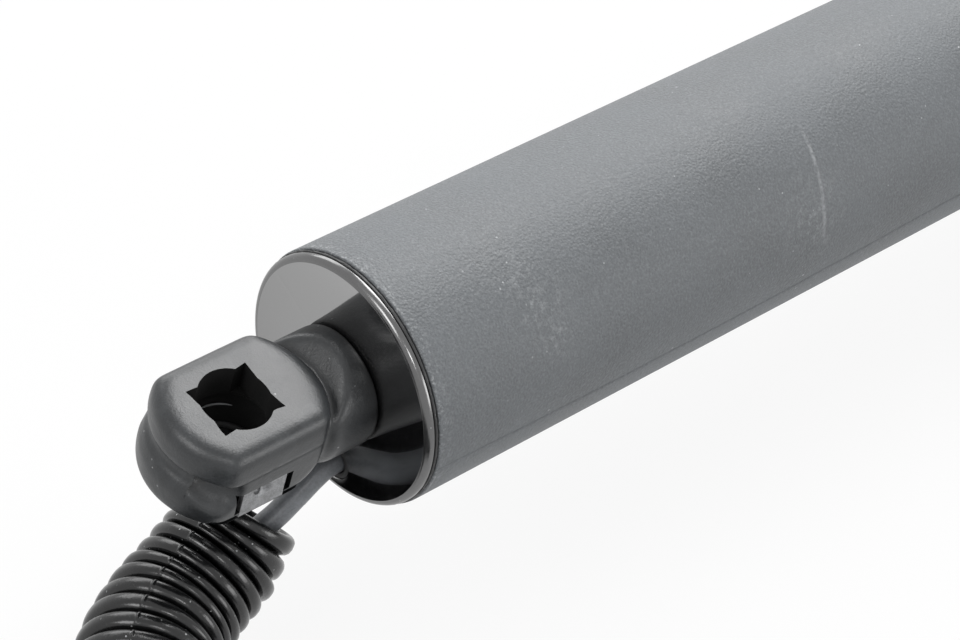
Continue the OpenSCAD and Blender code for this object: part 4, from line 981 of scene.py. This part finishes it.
def reshape(piece, centre, turn, shaped):
    # Moves each point, given its own place and its place as seen from the ball's centre
    normals = [v.normal.copy() for v in piece.data.vertices]
    moved = []
    for v, normal in zip(piece.data.vertices, normals):
        p = v.co / mm
        local = Vector(((p.x - centre) * turn, p.y * turn, p.z))
        moved.extend(shaped(p, local, normal) * mm)
    piece.data.vertices.foreach_set("co", moved)
    piece.data.update()


def windowPart():
    # Four points joined by slightly hollow sides, with a little flash left on them
    k = Values(**socket)
    px, py = [k.point * way for way in k.pointWay]
    corners = [(px, py), (-px, py), (-px, -py), (px, -py)]
    waists = [(0, py * k.waist), (-px * k.waist, 0), (0, -py * k.waist), (px * k.waist, 0)]
    outline = []
    for i in range(4):
        a, w, b = Vector(corners[i]), Vector(waists[i]), Vector(corners[(i + 1) % 4])
        for n in range(8):
            t = n / 8
            x, y = a.lerp(b, t) + (w - a.lerp(b, 0.5)) * (4 * t * (1 - t)) ** k.hollow
            outline.append((x + noise.noise(Vector((x, y, 1)) * k.unevenFine) * k.uneven,
                            y + noise.noise(Vector((y, x, 5)) * k.unevenFine) * k.uneven))
    return prism(outline, k.windowDepth, k.windowTop)


def makeSocket(name, node, body, centre, turn):
    k, c = Values(**socket), Values(**clip)
    # Its openings are filled, its edges are softened, and then they are cut again, so that they stay crisp
    around, above, below = k.plugs
    fill = toolPiece([prism(circle(around, 96, k.side - 0.06), -5.15, 1), prism(circle(above), 0, k.head),
                      prism(circle(below), -k.cup + 0.01, -5)], centre, turn)
    solid = recast(name, node, k, fill)

    def moulded(p, local, normal):
        out = k.ripple * noise.noise(local / k.rippleSize)
        if abs(normal.z) < 0.8 and local.x < k.partingTo:
            # The parting line: a step, a groove under it and bits of flash
            over = local.z - k.parting
            out += k.step * (0.5 if over > 0.1 else -0.5) * math.exp(-(over / k.stepWide) ** 2)
            out -= k.groove * math.exp(-((over + k.grooveUnder) / k.grooveWide) ** 2)
            if abs(over) < 0.2:
                out += k.flash * max(0.0, 0.3 + noise.noise(Vector((local.x, local.y, 0)) * 1.3))
        p = p + normal * out
        if local.y < -5 and -4.8 < local.z < k.parting - 0.15:
            u = (local.x - k.scoop[0]) / k.scoopSize[0]
            w = (local.z - k.scoop[1]) / k.scoopSize[1]
            p = p + Vector((0.25 * turn, turn, 0)) * (k.scoopDepth * math.exp(-(u * u + w * w) ** 2))
        return p

    reshape(solid, centre, turn, moulded)
    dome = [math.radians(90 - 7.5 * i) for i in range(1, 13)]
    seat = [(0, k.seat), *[(k.seat * math.cos(a), k.seat * math.sin(a)) for a in dome],
            (k.seat, -k.seatWall), (k.mouth, -k.seatWall - 0.3), (k.mouth, -k.cup - 1),
            (0, -k.cup - 1)]
    half, front, way = c.width / 2, -k.side - 1, -k.cup + 0.45
    back = -k.side + 1.4
    slots = [block((sgn * (half + 0.5) - c.slot / 2, front, -c.height + 0.6),
                   (sgn * (half + 0.5) + c.slot / 2, -4.6, -0.1)) for sgn in (-1, 1)]
    legs = [block((low, front, way), (high, c.legReach + 0.4, way + c.legWay))
            for low, high in ((c.legIn - 0.3, c.legOut + 0.3), (-c.legOut - 0.3, -c.legIn + 0.3))]
    window = prism([(x * k.roundX, y) for x, y in circle(k.window, 128)], 0, k.windowTop)
    for part in (upright(seat), window, windowPart(),
                 block((-half - 0.1, front, -c.height - 0.5), (half + 0.1, back, 0)), *slots, *legs,
                 block((-c.legOut, front, way), (c.legOut, back, way + c.legWay))):
        cutBy(solid, toolPiece([part], centre, turn), "MANIFOLD")
    dress(solid, body, "grey_nylon", (node,), 38)
    # The ball's room and the window's walls get a near-black finish that reflects little, as painted shade
    # for the dark inside
    secondFinish(solid, "seat_painted_shade", lambda x, y, z: math.hypot(x - centre, y) < k.mouth + 0.15
                 and -k.cup + 0.1 < z < k.head - 0.12)


def makeClip(name, node, body, centre, turn):
    c = Values(**clip)

    def pressed(p, local, normal):
        if local.y < -7:
            u = (local.x - c.pit[0]) / c.pitSize[0]
            w = (local.z - c.pit[1]) / c.pitSize[1]
            deep = c.pitDepth * math.exp(-(u * u + w * w) ** 1.4)
            rim = c.pitRim * math.exp(-((math.hypot(u, w) - 1.5) / 0.3) ** 2)
            p = p + Vector((0, (deep - rim) * turn, 0))
        if local.z < -4.0 and abs(local.x) > 4 and local.y < -8:
            p = p + Vector((0, turn * c.barBack, 0))  # the cross bar lies back in its way
        return p + normal * (c.ripple * noise.noise(local / c.rippleSize))

    piece = recast(name, node, c)
    reshape(piece, centre, turn, pressed)
    dress(piece, body, "spring_sheet", (node,), 0)


bead = {"radius": 6.5, "thick": 0.5, "height": -4.45, "steps": 120}
flash = {"radius": 5.35, "oval": 0.25, "thick": 0.17, "height": 1.0, "start": 42, "end": 100, "steps": 40}
dustLip = {"profile": [(7.1, -5.5), (7.1, -4.98), (6.4, -4.95), (5.0, -5.2), (4.5, -5.35), (4.6, -5.5),
                       (5.1, -5.45), (6.2, -5.25), (6.6, -5.5)]}


def makeMouthParts(prefix, body, centre, turn):
    # The round bead that the ball snaps past, the dust lip under it and a line of flash in the window
    def at(x, y, z):
        return centre + turn * x, turn * y, z

    def section(a, outX, outY, z, thick, sides):
        angles = [2 * math.pi * n / sides for n in range(sides)]
        return [at((outX + thick * math.cos(b)) * math.cos(a), (outY + thick * math.cos(b)) * math.sin(a),
                   z + thick * math.sin(b)) for b in angles]

    k, f = Values(**bead), Values(**flash)
    ring = [section(2 * math.pi * i / k.steps, k.radius, k.radius, k.height, k.thick, 16)
            for i in range(k.steps)]
    arc = []
    for i in range(f.steps + 1):
        a = math.radians(f.start + (f.end - f.start) * i / f.steps)
        thick = f.thick * math.sin(math.pi * (i + 1) / (f.steps + 2)) ** 0.5
        arc.append(section(a, f.radius, f.radius + f.oval, f.height, thick, 8))
    newPiece(prefix + "_mould_flash", *skinned(arc), body, "spring_steel", (), 0)
    verts, faces = upright(dustLip["profile"])
    lip = joined([([at(*v) for v in verts], faces), skinned(ring, True)])
    newPiece(prefix + "_dust_lip", *lip, body, "black_rubber", (), 45)


makeSocket("lower_socket", "lower_ball_socket", "housing", 0, 1)
makeSocket("upper_socket", "upper_ball_socket", "rod", upperCap["ball"], -1)
makeClip("lower_spring_clip", "lower_clip", "lower_clip", 0, 1)
makeClip("upper_spring_clip", "upper_clip", "upper_clip", upperCap["ball"], -1)
makeMouthParts("lower", "housing", 0, 1)
makeMouthParts("upper", "rod", upperCap["ball"], -1)

print("stage: floor and light")
studio = {"floor": -39.4, "reach": 6.0, "tones": ((0.7, 0.7, 0.7), (0.73, 0.73, 0.73)), "rough": 0.9,
          "whiteShare": 0.9, "fill": 0.22}
# Metres and watts
lamps = {
    "softbox": {"place": (0.62, 0.4, 0.82), "aim": (0.06, 0, 0), "size": (0.7, 0.8), "power": 13.5},
    "back": {"place": (0.45, 0.95, 0.3), "aim": (0.1, 0, 0), "size": (0.9, 0.5), "power": 3.8},
    "front": {"place": (0.6, -0.95, 0.4), "aim": (0.15, 0, 0), "size": (0.8, 0.45), "power": 4.8},
    "left": {"place": (-0.8, 0.1, 0.58), "aim": (0, 0, 0), "size": (0.4, 0.4), "power": 3.4},
    "near": {"place": (-0.5, -0.55, 0.72), "aim": (0, 0, 0), "size": (0.22, 0.2), "power": 1.3},
}


def whiteSeen(tree):
    # 1 where the camera, a reflection or a see-through ray looks
    path = wire(tree, "ShaderNodeLightPath")
    seen = sums(tree, "MAXIMUM", path.outputs["Is Camera Ray"], path.outputs["Is Glossy Ray"])
    return sums(tree, "MAXIMUM", seen, path.outputs["Is Transmission Ray"])


def makeFloor():
    r, z = studio["reach"], studio["floor"] * mm
    mesh = bpy.data.meshes.new("floor")
    mesh.from_pydata([(-r, -r, z), (r, -r, z), (r, r, z), (-r, r, z)], [], [(0, 1, 2, 3)])
    placed("floor", mesh)
    material = bpy.data.materials.new("pale_floor")
    material.use_nodes = True
    tree = material.node_tree
    shader = tree.nodes["Principled BSDF"]
    place = wire(tree, "ShaderNodeTexCoord").outputs["Object"]
    colour = tone(tree, cloud(tree, place, 400, 2), 0.3, 0.7, studio["tones"])
    tree.links.new(colour, shader.inputs["Base Color"])
    shader.inputs["Roughness"].default_value = studio["rough"]
    glow = wire(tree, "ShaderNodeEmission", {"Strength": 1.0})
    white = times(tree, whiteSeen(tree), studio["whiteShare"])
    mix = wire(tree, "ShaderNodeMixShader", {"Fac": white, 1: shader.outputs[0], 2: glow.outputs[0]})
    tree.links.new(mix.outputs[0], tree.nodes["Material Output"].inputs["Surface"])
    mesh.materials.append(material)


def makeWorld():
    world = bpy.data.worlds.new("studio")
    world.use_nodes = True
    scene.world = world
    tree = world.node_tree
    tree.nodes.clear()
    strength = spread(tree, whiteSeen(tree), studio["fill"], 1.0, 0, 1)
    sky = wire(tree, "ShaderNodeBackground", {"Color": (1, 1, 1, 1), "Strength": strength})
    wire(tree, "ShaderNodeOutputWorld", {"Surface": sky.outputs[0]})


def makeLamps():
    for name, lamp in lamps.items():
        data = bpy.data.lights.new(name, "AREA")
        data.shape, data.size, data.size_y, data.energy = "RECTANGLE", *lamp["size"], lamp["power"]
        holder = placed(name, data)
        holder.location = lamp["place"]
        way = Vector(lamp["aim"]) - Vector(lamp["place"])
        holder.rotation_euler = way.to_track_quat("-Z", "Y").to_euler()


makeFloor()
makeWorld()
makeLamps()
scene.view_settings.view_transform = "Standard"

print("stage: done")
